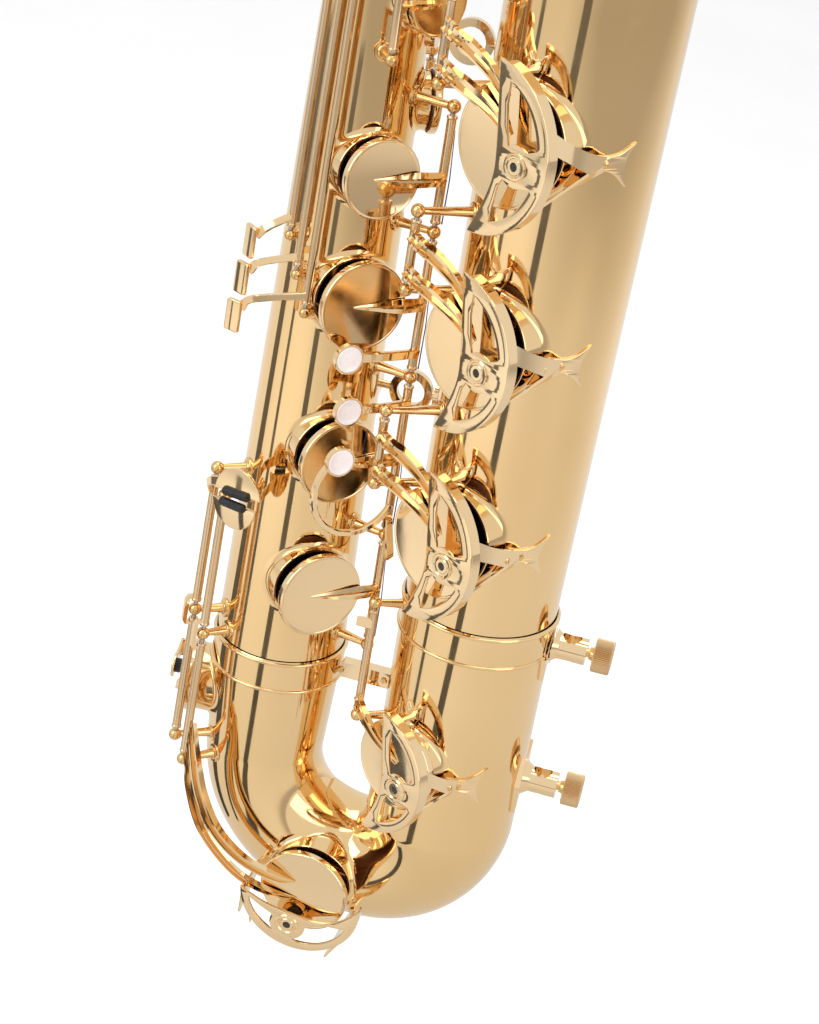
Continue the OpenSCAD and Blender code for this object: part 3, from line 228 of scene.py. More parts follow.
BRASS = metal("gold_lacquered_brass", (0.90, 0.64, 0.33), (0.87, 0.60, 0.29), 0.06, ripple=0.03)
KEY_BRASS = metal("key_brass", (0.92, 0.70, 0.42), (0.90, 0.65, 0.36), 0.07)
DEEP_BRASS = metal("post_brass", (0.84, 0.56, 0.26), (0.76, 0.47, 0.18), 0.13)
ROD_BRASS = metal("hinge_tube_brass", (0.80, 0.60, 0.38), (0.74, 0.52, 0.29), 0.16,
                  brush=(1, 1, 0.05))
KNURL = metal("knurled_brass", (0.70, 0.50, 0.28), (0.62, 0.42, 0.22), 0.38, coat=0.0, grain=0.4)
STEEL = metal("rod_steel", (0.56, 0.55, 0.54), (0.45, 0.44, 0.43), 0.2, brush=(1, 1, 0.05),
              coat=0.0)
BLUED = metal("blued_steel", (0.05, 0.08, 0.2), (0.03, 0.04, 0.12), 0.25, coat=0.0)
LEATHER = soft("pad_leather", (0.10, 0.035, 0.018), (0.17, 0.06, 0.03), 0.5, 260, 0.35)
FELT = soft("black_felt", (0.006, 0.006, 0.007), (0.02, 0.02, 0.022), 0.95, 700, 0.8, sheen=0.4)
ROLLER = soft("black_roller", (0.004, 0.004, 0.005), (0.010, 0.010, 0.012), 0.42, 120, 0.05,
              coat=0.1)
CORK = soft("neck_cork", (0.42, 0.25, 0.12), (0.6, 0.4, 0.22), 0.8, 380, 0.6)
EBONITE = soft("hard_rubber", (0.008, 0.008, 0.009), (0.016, 0.015, 0.015), 0.16, 60, 0.03,
               coat=0.5)
CANE = soft("reed_cane", (0.72, 0.55, 0.27), (0.82, 0.67, 0.38), 0.55, 90, 0.25,
            stretch=(1, 1, 0.06))
PEARL = soft("pearl_touch", (0.86, 0.72, 0.70), (0.93, 0.86, 0.84), 0.22, 70, 0.03, coat=0.8,
             subsurface=0.15)


# ---------------------------------------------------------------- mesh makers
class Piece:
    """One visible object: shapes are added in millimetres, done() makes the object."""

    def __init__(self, name, material, body="frame"):
        self.name, self.material, self.body = name, material, body
        self.vertices, self.faces = [], []

    def add(self, shape, at=Matrix.Identity(4)):
        start = len(self.vertices)
        self.vertices += [at @ Vector(v) for v in shape[0]]
        self.faces += [[start + i for i in face] for face in shape[1]]
        return self

    def cut(self, at, radius):
        """Drops the faces inside a round hole along the frame's z, on its side of the tube."""
        inverse = at.inverted()
        kept = []
        for face in self.faces:
            middle = Vector((0, 0, 0))
            for i in face:
                middle += self.vertices[i]
            place = inverse @ (middle / len(face))
            if place.z < NEAR_SIDE or math.hypot(place.x, place.y) > radius:
                kept.append(face)
        self.faces = kept

    def done(self, *nodes, smooth=32, merge=True):
        """Makes the object; it replaces the CAD nodes that are named."""
        mesh = bpy.data.meshes.new(self.name)
        mesh.from_pydata([v * MM for v in self.vertices], [], self.faces)
        work = bmesh.new()
        work.from_mesh(mesh)
        if merge:
            bmesh.ops.remove_doubles(work, verts=work.verts, dist=1e-6)
        loose = [v for v in work.verts if not v.link_faces]
        bmesh.ops.delete(work, geom=loose, context="VERTS")
        bmesh.ops.recalc_face_normals(work, faces=work.faces)
        work.to_mesh(mesh)
        work.free()
        mesh.shade_smooth()
        mesh.set_sharp_from_angle(angle=math.radians(smooth))
        mesh.materials.append(self.material)
        obj = bpy.data.objects.new(self.name, mesh)
        bpy.context.scene.collection.objects.link(obj)
        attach(obj, self.body)
        if nodes:
            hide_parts(*nodes)
        return obj


def lathe(profile, n):
    """Surface of revolution about z of (radius, height) points."""
    vertices, rings = [], []
    for r, z in profile:
        if r < 1e-6:
            rings.append([len(vertices)])
            vertices.append((0, 0, z))
            continue
        rings.append(list(range(len(vertices), len(vertices) + n)))
        for i in range(n):
            a = 2 * math.pi * i / n
            vertices.append((r * math.cos(a), r * math.sin(a), z))
    return vertices, bridge(rings, n)


def bridge(rings, n):
    faces = []
    for a, b in zip(rings, rings[1:]):
        for i in range(n):
            j = (i + 1) % n
            if len(a) == 1 and len(b) > 1:
                faces.append([a[0], b[i], b[j]])
            elif len(b) == 1 and len(a) > 1:
                faces.append([a[i], b[0], a[j]])
            elif len(a) > 1:
                faces.append([a[i], b[i], b[j], a[j]])
    return faces


def arc(cx, cy, r, start, end, n):
    return [(cx + r * math.cos(math.radians(start + (end - start) * i / n)),
             cy + r * math.sin(math.radians(start + (end - start) * i / n)))
            for i in range(n + 1)]


def smooth_path(points, n=6):
    """Catmull-Rom curve through points of any dimension."""
    points = [Vector(p) for p in points]
    run = [points[0] * 2 - points[1]] + points + [points[-1] * 2 - points[-2]]
    out = []
    for i in range(1, len(run) - 2):
        a, b, c, d = run[i - 1:i + 3]
        for k in range(n):
            t = k / n
            out.append(0.5 * (2 * b + (c - a) * t + (2 * a - 5 * b + 4 * c - d) * t * t
                              + (3 * b - a - 3 * c + d) * t ** 3))
    out.append(points[-1])
    return out


def sweep(points, radii, n, caps=True):
    """Round bar or tube through points, with one radius per point."""
    sections = [[(r * math.cos(2 * math.pi * i / n), r * math.sin(2 * math.pi * i / n))
                 for i in range(n)] for r in radii]
    return loft(points, sections, caps=caps)


def loft(points, sections, up=None, caps=True):
    """Joins 2-D sections that stand across a path. up fixes each section's second axis."""
    points = [Vector(p) for p in points]
    n = len(sections[0])
    vertices, rings = [], []
    side = None
    for i, p in enumerate(points):
        tangent = (points[min(i + 1, len(points) - 1)] - points[max(i - 1, 0)]).normalized()
        if up is not None:
            lift = Vector(up[i] if isinstance(up, list) else up)
            side = tangent.cross(lift).normalized()
        elif side is None:
            guess = Vector((0, 1, 0)) if abs(tangent.y) < 0.9 else Vector((1, 0, 0))
            side = tangent.cross(guess).normalized()
        else:
            side = (side - tangent * side.dot(tangent)).normalized()
        lift = side.cross(tangent)
        rings.append(list(range(len(vertices), len(vertices) + n)))
        vertices += [p + side * s + lift * h for s, h in sections[i]]
    faces = bridge(rings, n)
    if caps:
        faces += [rings[0][::-1], rings[-1]]
    return vertices, faces


# Sections of arms, 1 wide and 1 high
BAR = [(-0.5, 0), (0.5, 0), (0.5, 0.75), (0.38, 1), (-0.38, 1), (-0.5, 0.75)]
CHANNEL = [(-0.5, 0), (0.5, 0), (0.5, 1), (0.34, 1), (0.3, 0.35), (-0.3, 0.35), (-0.34, 1),
           (-0.5, 1)]
LEAF = [(-0.5, 0), (0.5, 0), (0.5, 0.25), (0.12, 0.45), (0.07, 1), (-0.07, 1), (-0.12, 0.45),
        (-0.5, 0.25)]


def strap(points, widths, heights, section, up):
    """Shaped arm along a smooth path; widths and heights run with the points."""
    path = smooth_path([(*p, w, h) for p, w, h in zip(points, widths, heights)])
    places = [Vector(p[:3]) for p in path]
    sections = [[(s * max(p[3], 0.3), t * max(p[4], 0.3)) for s, t in section] for p in path]
    return loft(places, sections, up=up)


def plate(loops, thickness, bevel):
    """Flat plate from z = 0 with holes and softened edges."""
    curve = bpy.data.curves.new("outline", "CURVE")
    curve.dimensions = "2D"
    curve.fill_mode = "BOTH"
    curve.extrude = (thickness / 2 - bevel) * MM
    curve.bevel_depth = bevel * MM
    curve.bevel_resolution = 1
    curve.offset = -bevel * MM
    for loop in loops:
        spline = curve.splines.new("POLY")
        spline.points.add(len(loop) - 1)
        for point, place in zip(spline.points, loop):
            point.co = (place[0] * MM, place[1] * MM, 0, 1)
        spline.use_cyclic_u = True
    obj = bpy.data.objects.new("outline", curve)
    bpy.context.scene.collection.objects.link(obj)
    depsgraph = bpy.context.evaluated_depsgraph_get()
    mesh = bpy.data.meshes.new_from_object(obj.evaluated_get(depsgraph))
    vertices = [(v.co.x / MM, v.co.y / MM, v.co.z / MM + thickness / 2) for v in mesh.vertices]
    faces = [list(p.vertices) for p in mesh.polygons]
    bpy.data.objects.remove(obj)
    bpy.data.curves.remove(curve)
    bpy.data.meshes.remove(mesh)
    return vertices, faces


# ---------------------------------------------------------------- tube surfaces
def body_distance(p):
    return math.hypot(p.x - BODY_X, p.y) - (BODY_R - BODY_TAPER * (p.z - BODY_FOOT))


def bell_radius(y):
    straight = BELL_R - BELL_TAPER * min(y, BELL_STRAIGHT)
    if y <= BELL_STRAIGHT:
        return straight
    u = (y - BELL_STRAIGHT) / (BELL_TOP - BELL_FOOT - BELL_STRAIGHT)
    spread = BELL_RIM_R - 4 - BELL_R + BELL_TAPER * BELL_STRAIGHT * 1.3
    return BELL_R - BELL_TAPER * y + spread * u ** 2.6


def bell_distance(p):
    return math.hypot(p.x - BELL_X, p.y) - bell_radius(p.z - BELL_FOOT)


def bow_place(t):
    """Middle line and radius of the bow for t from 0 at the body to 4 at the bell."""
    top = BODY_FOOT - BOW_LAP
    if t <= 1:
        return (Vector((BODY_X, 0, top + (BEND_Z - top) * t)),
                BODY_R + 0.4 + (BOW_R - BODY_R - 0.4) * t)
    if t <= 2:
        a = math.radians(90 * (t - 1))
        x = BODY_X + BEND_R * (1 - math.cos(a))
        return Vector((x, 0, BEND_Z - BEND_R * math.sin(a))), BOW_R
    if t <= 3:
        a = math.radians(90 * (t - 2))
        x = BELL_X - TURN_R * (1 - math.sin(a))
        return (Vector((x, 0, TURN_Z - TURN_R * math.cos(a))),
                BOW_R + (BOW_BELL_R - BOW_R) * (t - 2))
    z = TURN_Z + (BELL_FOOT - BOW_LAP - TURN_Z) * (t - 3)
    return Vector((BELL_X, 0, z)), BOW_BELL_R + 0.2 * (t - 3)


def bow_distance(p):
    middle, top = BODY_X + BEND_R, BODY_FOOT - BOW_LAP
    if p.x < middle:
        if p.z > BEND_Z:
            t = (top - p.z) / (top - BEND_Z)
        else:
            t = 1 + math.degrees(math.atan2(BEND_Z - p.z, middle - p.x)) / 90
    elif p.z > TURN_Z:
        t = 3 + (p.z - TURN_Z) / (BELL_FOOT - BOW_LAP - TURN_Z)
    else:
        t = 2 + math.degrees(math.atan2(p.x - middle, TURN_Z - p.z)) / 90
    place, r = bow_place(min(max(t, 0), 4))
    return (p - place).length - r


def surface_height(at, x, y, distance):
    """Height over the frame's x-y plane at which the tube's surface lies."""
    low, high = 0.0, 90.0
    for _ in range(24):
        z = (low + high) / 2
        if distance(at @ Vector((x, y, z))) > 0:
            high = z
        else:
            low = z
    return high


def tone_hole(at, hole, rim, distance):
    """Drawn chimney: flange on the tube, fillet, wall, rolled rim and inner wall."""
    n, flange, wall = 72, 3.6, hole + HOLE_WALL
    fillet = [(wall + flange * (1 - math.sin(math.radians(a))),
               flange * 0.75 * (1 - math.cos(math.radians(a)))) for a in (0, 18, 36, 54, 72, 90)]
    upper = [(wall, rim - 1.1), (wall + 0.35, rim - 0.6), (wall, rim - 0.1), (hole + 0.3, rim),
             (hole, rim - 0.6)]
    rings, vertices = [], []
    for row in range(len(fillet) + len(upper) + 1):
        ring = []
        for i in range(n):
            a = 2 * math.pi * i / n
            if row < len(fillet):
                r, lift = fillet[row]
                x, y = r * math.cos(a), r * math.sin(a)
                z = min(surface_height(at, x, y, distance) + lift + 0.03, rim - 1.2)
            elif row < len(fillet) + len(upper):
                r, z = upper[row - len(fillet)]
                x, y = r * math.cos(a), r * math.sin(a)
            else:
                x, y = hole * math.cos(a), hole * math.sin(a)
                z = surface_height(at, x, y, distance) - 2.4
            ring.append(len(vertices))
            vertices.append((x, y, z))
        rings.append(ring)
    return vertices, bridge(rings, n)


def body_holes():
    rows = [(STACK_AZ, y, r) for y, r in STACK_KEYS.values()]
    rows += [(UPPER_AZ, y, r) for y, r in UPPER_KEYS.values()]
    rows += [(G_SHARP_AZ, G_SHARP_Y, G_SHARP_R), *SIDE_KEYS.values()]
    return rows + [(PALM_HOLE_AZ, y, r) for y, r in PALM_KEYS.values()]


def drill(tube, at, r, rim, distance):
    """Opens a tube under a cup of radius r and adds the chimney."""
    tube.cut(at, r - PAD_INSET + 1.2)
    tube.add(tone_hole(at, r - PAD_INSET, rim, distance), at)


def tube_wall(outer):
    """Closed profile of a tube from its outer line."""
    return outer + [(r - WALL, z) for r, z in reversed(outer)] + [outer[0]]


def build_body_tube():
    body = Piece("body_tube_shell", BRASS)
    rows, length = 190, BODY_TOP - BODY_FOOT
    outer = [(BODY_R - BODY_TAPER * length * i / rows, length * i / rows) for i in range(rows + 1)]
    body.add(lathe(tube_wall(outer), 192), move(BODY_X, 0, BODY_FOOT))
    for azimuth, y, r in body_holes():
        drill(body, on_body(azimuth, y), r, RIM, body_distance)
    body.add(lathe([(23, 0), (26, 0), (26.6, 1.2), (26, 2.4), (26, 10), (26.6, 11), (26, 12),
                    (23, 12), (23, 0)], 96), move(BODY_X, 0, BODY_TOP - 12))
    body.done("body_tube", merge=False)


def build_bell():
    bell = Piece("bell_shell", BRASS)
    rows, length = 150, BELL_TOP - BELL_FOOT
    outer = [(bell_radius(length * i / rows), length * i / rows) for i in range(rows + 1)]
    bead = arc(bell_radius(length) + 0.8, length, 2.6, -100, 160, 14)
    profile = outer + bead + tube_wall(outer)[len(outer):]
    bell.add(lathe(profile, 224), move(BELL_X, 0, BELL_FOOT))
    for y, r in BELL_KEYS.values():
        drill(bell, on_bell(BELL_AZ, y), r, BELL_RIM, bell_distance)
    bell.done("bell", merge=False)


def build_lower_bow():
    bow = Piece("lower_bow_shell", BRASS)
    rows = 240
    line = [bow_place(4 * i / rows) for i in range(rows + 1)]
    for inset in (0, WALL):
        bow.add(sweep([place for place, _ in line], [r - inset for _, r in line], n=160,
                      caps=False))
    for at, r, rim in ((on_bow(C_AROUND, C_ACROSS), C_R, C_RIM),
                       (on_bell(C_SHARP["az"], C_SHARP["y"]), C_SHARP["r"], C_SHARP["rim"]),
                       (on_body(E_FLAT["az"], E_FLAT["y"]), E_FLAT["r"], E_FLAT["rim"])):
        drill(bow, at, r, rim, bow_distance)
    bow.done("lower_bow", merge=False)


def build_ferrules():
    for name, x, z, r in (("body_ferrule", BODY_X, BODY_FOOT, BODY_R),
                          ("bell_ferrule", BELL_X, BELL_FOOT, BELL_R)):
        ring = Piece(name, BRASS)
        beads = [[(r + 1.5, base), *arc(r + 1.5, base + 1.3, 1.2, -90, 90, 10)]
                 for base in (0.3, 20.8)]
        ring.add(lathe([(r + 0.8, 0), *beads[0], *beads[1], (r + 0.8, 24), (r + 0.8, 0)], 160),
                 move(x, 0, z - 24.3))
        ring.done(*(["bow_ferrules"] if x == BODY_X else []))


def build_bow_plate():
    """Leaf-shaped sheet under the bow, closed along its edges."""
    rows, columns = 120, 40
    across = Vector((0, 1, 0))
    rings, vertices = [], []
    for layer in (0.15, 2.1):
        for i in range(rows + 1):
            t = 1.5 + 1.3 * i / rows
            place, r = bow_place(t)
            along = (bow_place(t + 0.01)[0] - bow_place(t - 0.01)[0]).normalized()
            outward = along.cross(across)
            spread = 34 * math.sin(math.pi * (0.12 + 0.76 * i / rows))
            row = []
            for k in range(columns + 1):
                a = math.radians(-spread + 2 * spread * k / columns)
                row.append(len(vertices))
                vertices.append(place + (outward * math.cos(a) + across * math.sin(a)) * (r + layer))
            rings.append(row)
    inner, outer = rings[:rows + 1], rings[rows + 1:]
    faces = []
    for layer in (inner, outer):
        faces += [[a[k], a[k + 1], b[k + 1], b[k]] for a, b in zip(layer, layer[1:])
                  for k in range(columns)]
    for k in (0, columns):
        faces += [[inner[i][k], inner[i + 1][k], outer[i + 1][k], outer[i][k]]
                  for i in range(rows)]
    for i in (0, rows):
        faces += [[inner[i][k], inner[i][k + 1], outer[i][k + 1], outer[i][k]]
                  for k in range(columns)]
    Piece("bow_plate_sheet", BRASS).add((vertices, faces)).done("bow_plate")


# ---------------------------------------------------------------- posts and springs
def post_shape(base, length, ball):
    stem = [(3.4 - 1.1 * (i / 6) ** 0.7, base + 2.6 + (length - base - ball - 1.6) * i / 6)
            for i in range(7)]
    return lathe([(0, base - 1.5), (6.5, base - 1.5), (6.5, base + 0.9), (6.1, base + 1.4),
                  (4.6, base + 1.6), (4.2, base + 2.2), *stem,
                  *arc(0, length, ball, -58, 90, 14)], 40)


def post(hx, hz, y, taper, r0, ball=POST_BALL):
    """(shape, matrix) of one post that holds the hinge line at (hx, hz)."""
    cz = taper * y
    rho = math.hypot(hx, hz - cz)
    lean = math.degrees(math.atan2(hx, hz - cz))
    return post_shape(r0 - taper * y, rho, ball), move(0, y, cz) @ turn(lean, "Y")


def all_posts():
    rows = [(on_body(STACK_AZ), (STACK_HX, STACK_HZ, y, BODY_TAPER, BODY_R)) for y in STACK_POSTS]
    rows += [(on_body(LOW_ROD_AZ), (0, LOW_ROD_Z, y, BODY_TAPER, r))
             for y, r in ((6, BODY_R), (108, BODY_R), (-92, BOW_R - 3))]
    rows += [(on_body(E_ROD_AZ), (0, E_ROD_Z, y, BODY_TAPER, r))
             for y, r in ((18, BODY_R), (122, BODY_R), (-80, BOW_R - 3))]
    for i, azimuth in enumerate(SIDE_RODS):
        rows += [(on_body(azimuth), (0, SIDE_ROD_Z, y, BODY_TAPER, BODY_R, SMALL_BALL))
                 for y in (288 - SIDE_STEP * i, SIDE_MID[i], SIDE_Y[i] + 18)]
    rows += [(on_body(UPPER_AZ), (UPPER_HX, UPPER_HZ, y, BODY_TAPER, BODY_R, MIDDLE_BALL))
             for y in UPPER_POSTS]
    rows += [(on_body(G_SHARP_AZ), (G_SHARP_HX, UPPER_HZ, y, BODY_TAPER, BODY_R, MIDDLE_BALL))
             for y in (350, 396)]
    rows += [(on_body(PALM_AZ), (0, PALM_Z, y + s, BODY_TAPER, BODY_R, SMALL_BALL))
             for y, _ in PALM_KEYS.values() for s in (-16, 16)]
    rows += [(on_body(OCTAVE_AZ), (0, PALM_Z, y, BODY_TAPER, BODY_R, SMALL_BALL)) for y in (574, 640)]
    for name, (y, _) in BELL_KEYS.items():
        rows += [(on_bell(BELL_AZ), (BELL_HX, BELL_HZ, y + dy, BELL_TAPER, BELL_R))
                 for dy in (22, 78 if name == "low_a" else 72)]
    rows += [(on_bell(C_SHARP["az"]), (C_SHARP["hx"], C_SHARP["hz"], y, BELL_TAPER, BELL_R))
             for y in (-92, -6)]
    return rows


def build_posts_and_springs():
    posts = Piece("posts_turned", DEEP_BRASS)
    for at, arguments in all_posts():
        shape, own = post(*arguments)
        posts.add(shape, at @ own)
    posts.done("posts", smooth=40)
    springs = Piece("needle_springs_blued", BLUED)
    needle = [0.42, 0.36, 0.25]
    x, z = STACK_HX, STACK_HZ
    for y in STACK_POSTS[:-1]:
        springs.add(sweep([(x + 5.5, y + 4, z - 3), (x + 6.5, y + 32, z - 4.4),
                           (x + 5, y + 62, z - 4.5)], needle, 10), on_body(STACK_AZ))
    x, z = BELL_HX, BELL_HZ
    for y, _ in BELL_KEYS.values():
        springs.add(sweep([(x - 5, y + 26, z - 4), (x - 5.8, y + 44, z - 5),
                           (x - 5.5, y + 64, z - 5)], needle, 10), on_bell(BELL_AZ))
    springs.done("needle_springs")


# ---------------------------------------------------------------- key parts
ONE = Matrix.Identity(4)


def arm(points, widths, heights, section=BAR, up=UP):
    """Shaped arm in the key's own frame, with its matrix."""
    return strap(points, widths, heights, section, up), ONE


def cup(r, z):
    top, low = cup_top(z), z + GAP + 1.2
    return lathe([(0, top), (r - 2.2, top), (r - 1.7, top + 0.1), (r - 1.2, top + 0.32),
                  (r - 0.6, top + 0.3), (r - 0.15, top - 0.15), (r, top - 0.8), (r, low + 0.3),
                  (r - 0.3, low), (r - 1.0, low), (r - 1.2, low + 0.4), (r - 1.2, top - 1.6),
                  (0, top - 1.6)], 96)


def pad(r, z):
    low, high = z + GAP, z + GAP + PAD_T
    return lathe([(0, high), (r - 1.6, high), (r - 1.4, high - 0.6), (r - 1.4, low + 1.4),
                  (r - 1.9, low + 0.5), (r - 3.0, low + 0.05), (r * 0.45, low),
                  (r * 0.42, low), (0, low)], 72)


def resonator(r, z):
    low = z + GAP
    return lathe([(0, low - 0.9), (1.6, low - 0.8), (2.2, low - 0.35), (r * 0.36, low - 0.35),
                  (r * 0.4, low - 0.1), (r * 0.4, low + 0.3), (0, low + 0.3)], 48)


def cup_top(z):
    return z + GAP + PAD_T + 1.6


def hinge_tube(hx, hz, y1, y2, r=TUBE_R):
    """Bored tube with a fine collar at each end."""
    length = y2 - y1
    bore = ROD_R + 0.05
    shape = lathe([(bore, 0), (r + 0.2, 0), (r + 0.45, 0.4), (r + 0.45, 1.5), (r + 0.1, 1.9),
                   (r, 2.4), (r, length - 2.4), (r + 0.1, length - 1.9), (r + 0.45, length - 1.5),
                   (r + 0.45, length - 0.4), (r + 0.2, length), (bore, length), (bore, 0)], 32)
    return shape, move(hx, y1, hz) @ turn(-90, "X")


def pearl():
    """Brass holder and pearl disc of a finger touch."""
    r = PEARL_D / 2
    holder = lathe([(0, -4), (r, -4), (r + 1.2, -3.4), (r + 1.2, -0.3), (r + 0.9, 0), (r + 0.1, 0),
                    (r + 0.1, -1), (0, -1)], 48)
    disc = lathe([(0, -0.5), (r * 0.5, -0.35), (r * 0.8, 0.0), (r - 0.9, 0.35), (r - 0.3, 0.3),
                  (r, -0.2), (r, -1.4), (0, -1.4)], 48)
    return holder, disc


def key(name, at, cups, tubes, extra, pearls=(), own_pad=False):
    """A key: cups with pads, hinge tubes, shaped arms and pearls, at one matrix.

    own_pad says that the pad has a CAD node of its own.
    """
    brass = Piece(name + "_brass", KEY_BRASS, name)
    for place, r, rim in cups:
        brass.add(cup(r, rim), at @ place)
    for shape, place in extra:
        brass.add(shape, at @ place)
    holder, disc_top = pearl()
    for place in pearls:
        brass.add(holder, at @ place)
    brass.done(name + "_key")
    hinge = Piece(name + "_hinge_tube", ROD_BRASS, name)
    for shape, place in tubes:
        hinge.add(shape, at @ place)
    hinge.done()
    if cups:
        leather = Piece(name + "_pad_leather", LEATHER, name)
        disc = Piece(name + "_resonator", DEEP_BRASS, name)
        for place, r, rim in cups:
            leather.add(pad(r, rim), at @ place)
            disc.add(resonator(r, rim), at @ place)
        leather.done(*([name + "_pad"] if own_pad else []))
        disc.done()
    if pearls:
        touch = Piece(name + "_pearl", PEARL, name)
        for place in pearls:
            touch.add(disc_top, at @ place)
        touch.done()


def bell_key_extras(k):
    """Two channel rails from the hinge tube to the cup, as seen from the front."""
    top = cup_top(BELL_RIM)
    out = []
    for y_hinge, y_end, x_end in ((36, 7, 4 * k), (58, 27, -3 * k)):
        points = [(BELL_HX + 0.5, y_hinge, BELL_HZ + 1.6),
                  (BELL_HX + 8, y_hinge - 3, BELL_HZ + 1.2),
                  (BELL_HX + 15, y_hinge - 9, top + 5.2),
                  ((BELL_HX + 18 + x_end) / 2, (y_hinge + y_end) / 2 - 3, top + 1.2),
                  (x_end, y_end, top - 0.1)]
        widths, heights = [7.5, 8.5, 9, 7.6, 4.6], [3.2, 4.2, 4.6, 4.2, 1.2]
        out.append(arm(points, widths, heights, CHANNEL))
    return out


def build_bell_keys():
    for name, (y, r) in BELL_KEYS.items():
        at = on_bell(BELL_AZ, y) @ turned(BELL_HX, BELL_HZ, -BELL_OPEN)
        reach = 72.5 if name == "low_a" else 66.5
        key(name, at, [(ONE, r, BELL_RIM)], [hinge_tube(BELL_HX, BELL_HZ, 27.5, reach)],
            bell_key_extras(r / BELL_KEYS["low_a"][1]), own_pad=True)
    hx, hz, top = C_SHARP["hx"], C_SHARP["hz"], cup_top(C_SHARP["rim"])
    extra = [arm([(hx, 32, hz), (hx + 10, 27, top + 3), (-16, 14, top + 2), (2, 3, top - 0.1)],
                 [6, 7, 6, 3], [3, 4, 3.4, 1], CHANNEL),
             arm([(hx, 88, hz), (hx - 8, 88, hz + 6)], [8, 6], [3, 2.5], up=(0.6, 0, 0.8))]
    key("c_sharp", on_bell(C_SHARP["az"], C_SHARP["y"]), [(ONE, C_SHARP["r"], C_SHARP["rim"])],
        [hinge_tube(hx, hz, 22, 98)], extra, own_pad=True)


def stack_leaf(y, r):
    """Tapered arm with a central rib, lying on a mirror-flat cup."""
    top = cup_top(RIM)
    return arm([(STACK_HX, y, STACK_HZ + 1.5), (STACK_HX - 6, y, top + 0.6),
                (r - 4, y, top + 0.9), (r * 0.35, y, top + 0.5), (-r * 0.25, y, top - 0.2)],
               [10, 9, 9.5, 6, 1.2], [3, 3.4, 3.2, 2.4, 0.6], LEAF)


def small_leaf(x, y, points):
    """Thin arm from a hinge at x to the middle of a small cup."""
    run = [(x, y, UPPER_HZ + 1.5), *[(px, y, cup_top(RIM) + pz) for px, pz in points]]
    return arm(run, [6, 6, 5, 1.5], [3, 3, 2.4, 0.6], LEAF)


def build_lower_stack():
    at = on_body(STACK_AZ) @ turned(STACK_HX, STACK_HZ, STACK_OPEN)
    touch_arms = {
        "f": [(STACK_HX, 224, STACK_HZ + 1.5), (27, 225.5, 58), (8, 227, 61.5), (-11, 227, 60)],
        "e": [(STACK_HX, 190, STACK_HZ + 1.5), (27, 190.5, 57), (10, 192, 61), (-6, 192, 60)],
    }
    for i, (name, (y, r)) in enumerate(STACK_KEYS.items()):
        extra, pearls = [stack_leaf(y, r)], []
        if name in touch_arms:
            run = touch_arms[name]
            extra.append(arm(run, [6, 6, 6, 7], [3, 3, 3, 2.6]))
            pearls.append(move(run[-1][0], run[-1][1], run[-1][2] + 5))
        if name == "d":
            extra.append(arm([(STACK_HX, 88, STACK_HZ + 1), (37.6, 90, 65), (33, 106, 68),
                              (28, 122, 73)], [6, 6, 6, 5], [3.4, 3.4, 3.4, 3]))
            ring = [(x, yy, 73.5) for x, yy in arc(2, 142, 29, 135, 335, 24)]
            section = [(-2, -1.5), (2, -1.5), (2, 0.8), (1.3, 1.5), (-1.3, 1.5), (-2, 0.8)]
            extra.append((loft(ring, [section] * len(ring), up=UP), ONE))
            pearls.append(move(-14, 165, 78))
        tube = hinge_tube(STACK_HX, STACK_HZ, STACK_POSTS[i] + 5.5, STACK_POSTS[i + 1] - 5.5)
        key(name, at, [(move(0, y, 0), r, RIM)], [tube], extra, pearls, own_pad=True)


def build_upper_stack():
    at = on_body(UPPER_AZ) @ turned(UPPER_HX, UPPER_HZ, -UPPER_OPEN)
    for i, (name, (y, r)) in enumerate(UPPER_KEYS.items()):
        touch_y = y + (16 if name == "b_stack" else 22)
        extra = [small_leaf(UPPER_HX, y, [(UPPER_HX + 8, 0.5), (-6, 0.6), (2, -0.2)]),
                 arm([(UPPER_HX, touch_y, UPPER_HZ + 2), (UPPER_HX + 10, touch_y, 57),
                      (UPPER_HX + 22, touch_y, 57.4)], [6, 6, 6], [2.6, 2.6, 2.4])]
        tube = hinge_tube(UPPER_HX, UPPER_HZ, UPPER_POSTS[i] + 5.2, UPPER_POSTS[i + 1] - 5.2)
        key(name, at, [(move(0, y, 0), r, RIM)], [tube], extra,
            [move(UPPER_HX + 24, touch_y, 62)])
    key("g_sharp", on_body(G_SHARP_AZ), [(move(0, G_SHARP_Y, 0), G_SHARP_R, RIM)],
        [hinge_tube(G_SHARP_HX, UPPER_HZ, 355.5, 390.5)],
        [small_leaf(G_SHARP_HX, G_SHARP_Y, [(18, 0.5), (6, 0.6), (-3, -0.2)])])


def plate_frame(centre):
    """Frame of both little-finger plates, on the body's low-key azimuth."""
    return move(*centre) @ turn(PLATE_TILT, "Y") @ turn(PLATE_TURN, "Z")


def touch_plate(centre, side):
    """Half-round little-finger plate, on the side +1 or -1 of the gap."""
    start = 6 if side > 0 else 186
    outline = [(x, side * max(side * y, 1.2)) for x, y in arc(0, 0, PLATE_R, start, start + 168, 20)]
    return plate([outline], 2.4, 0.5), plate_frame(centre)


def roller(centre, side):
    shape = lathe([(0, 0), (2.4, 0), (3, 0.6), (3, 9.6), (2.6, 10), (3, 10.4), (3, 19.4),
                   (2.4, 20), (0, 20)], 32)
    return shape, plate_frame(centre) @ move(-10, side * 2.7, 3) @ turn(90, "Y")


def post_bridge(z, start, end):
    """Bent bar that steps over a post and joins two lengths of hinge tube."""
    run = [(0, start, z + 2), (0, start, z + 5.4), (0, start + 1.6, z + 6.4),
           (0, end - 1.6, z + 6.4), (0, end, z + 5.4), (0, end, z + 2)]
    return loft(run, [[(-1.4, -1.4), (1.4, -1.4), (1.4, 1.4), (-1.4, 1.4)]] * len(run),
                up=(1, 0, 0)), ONE


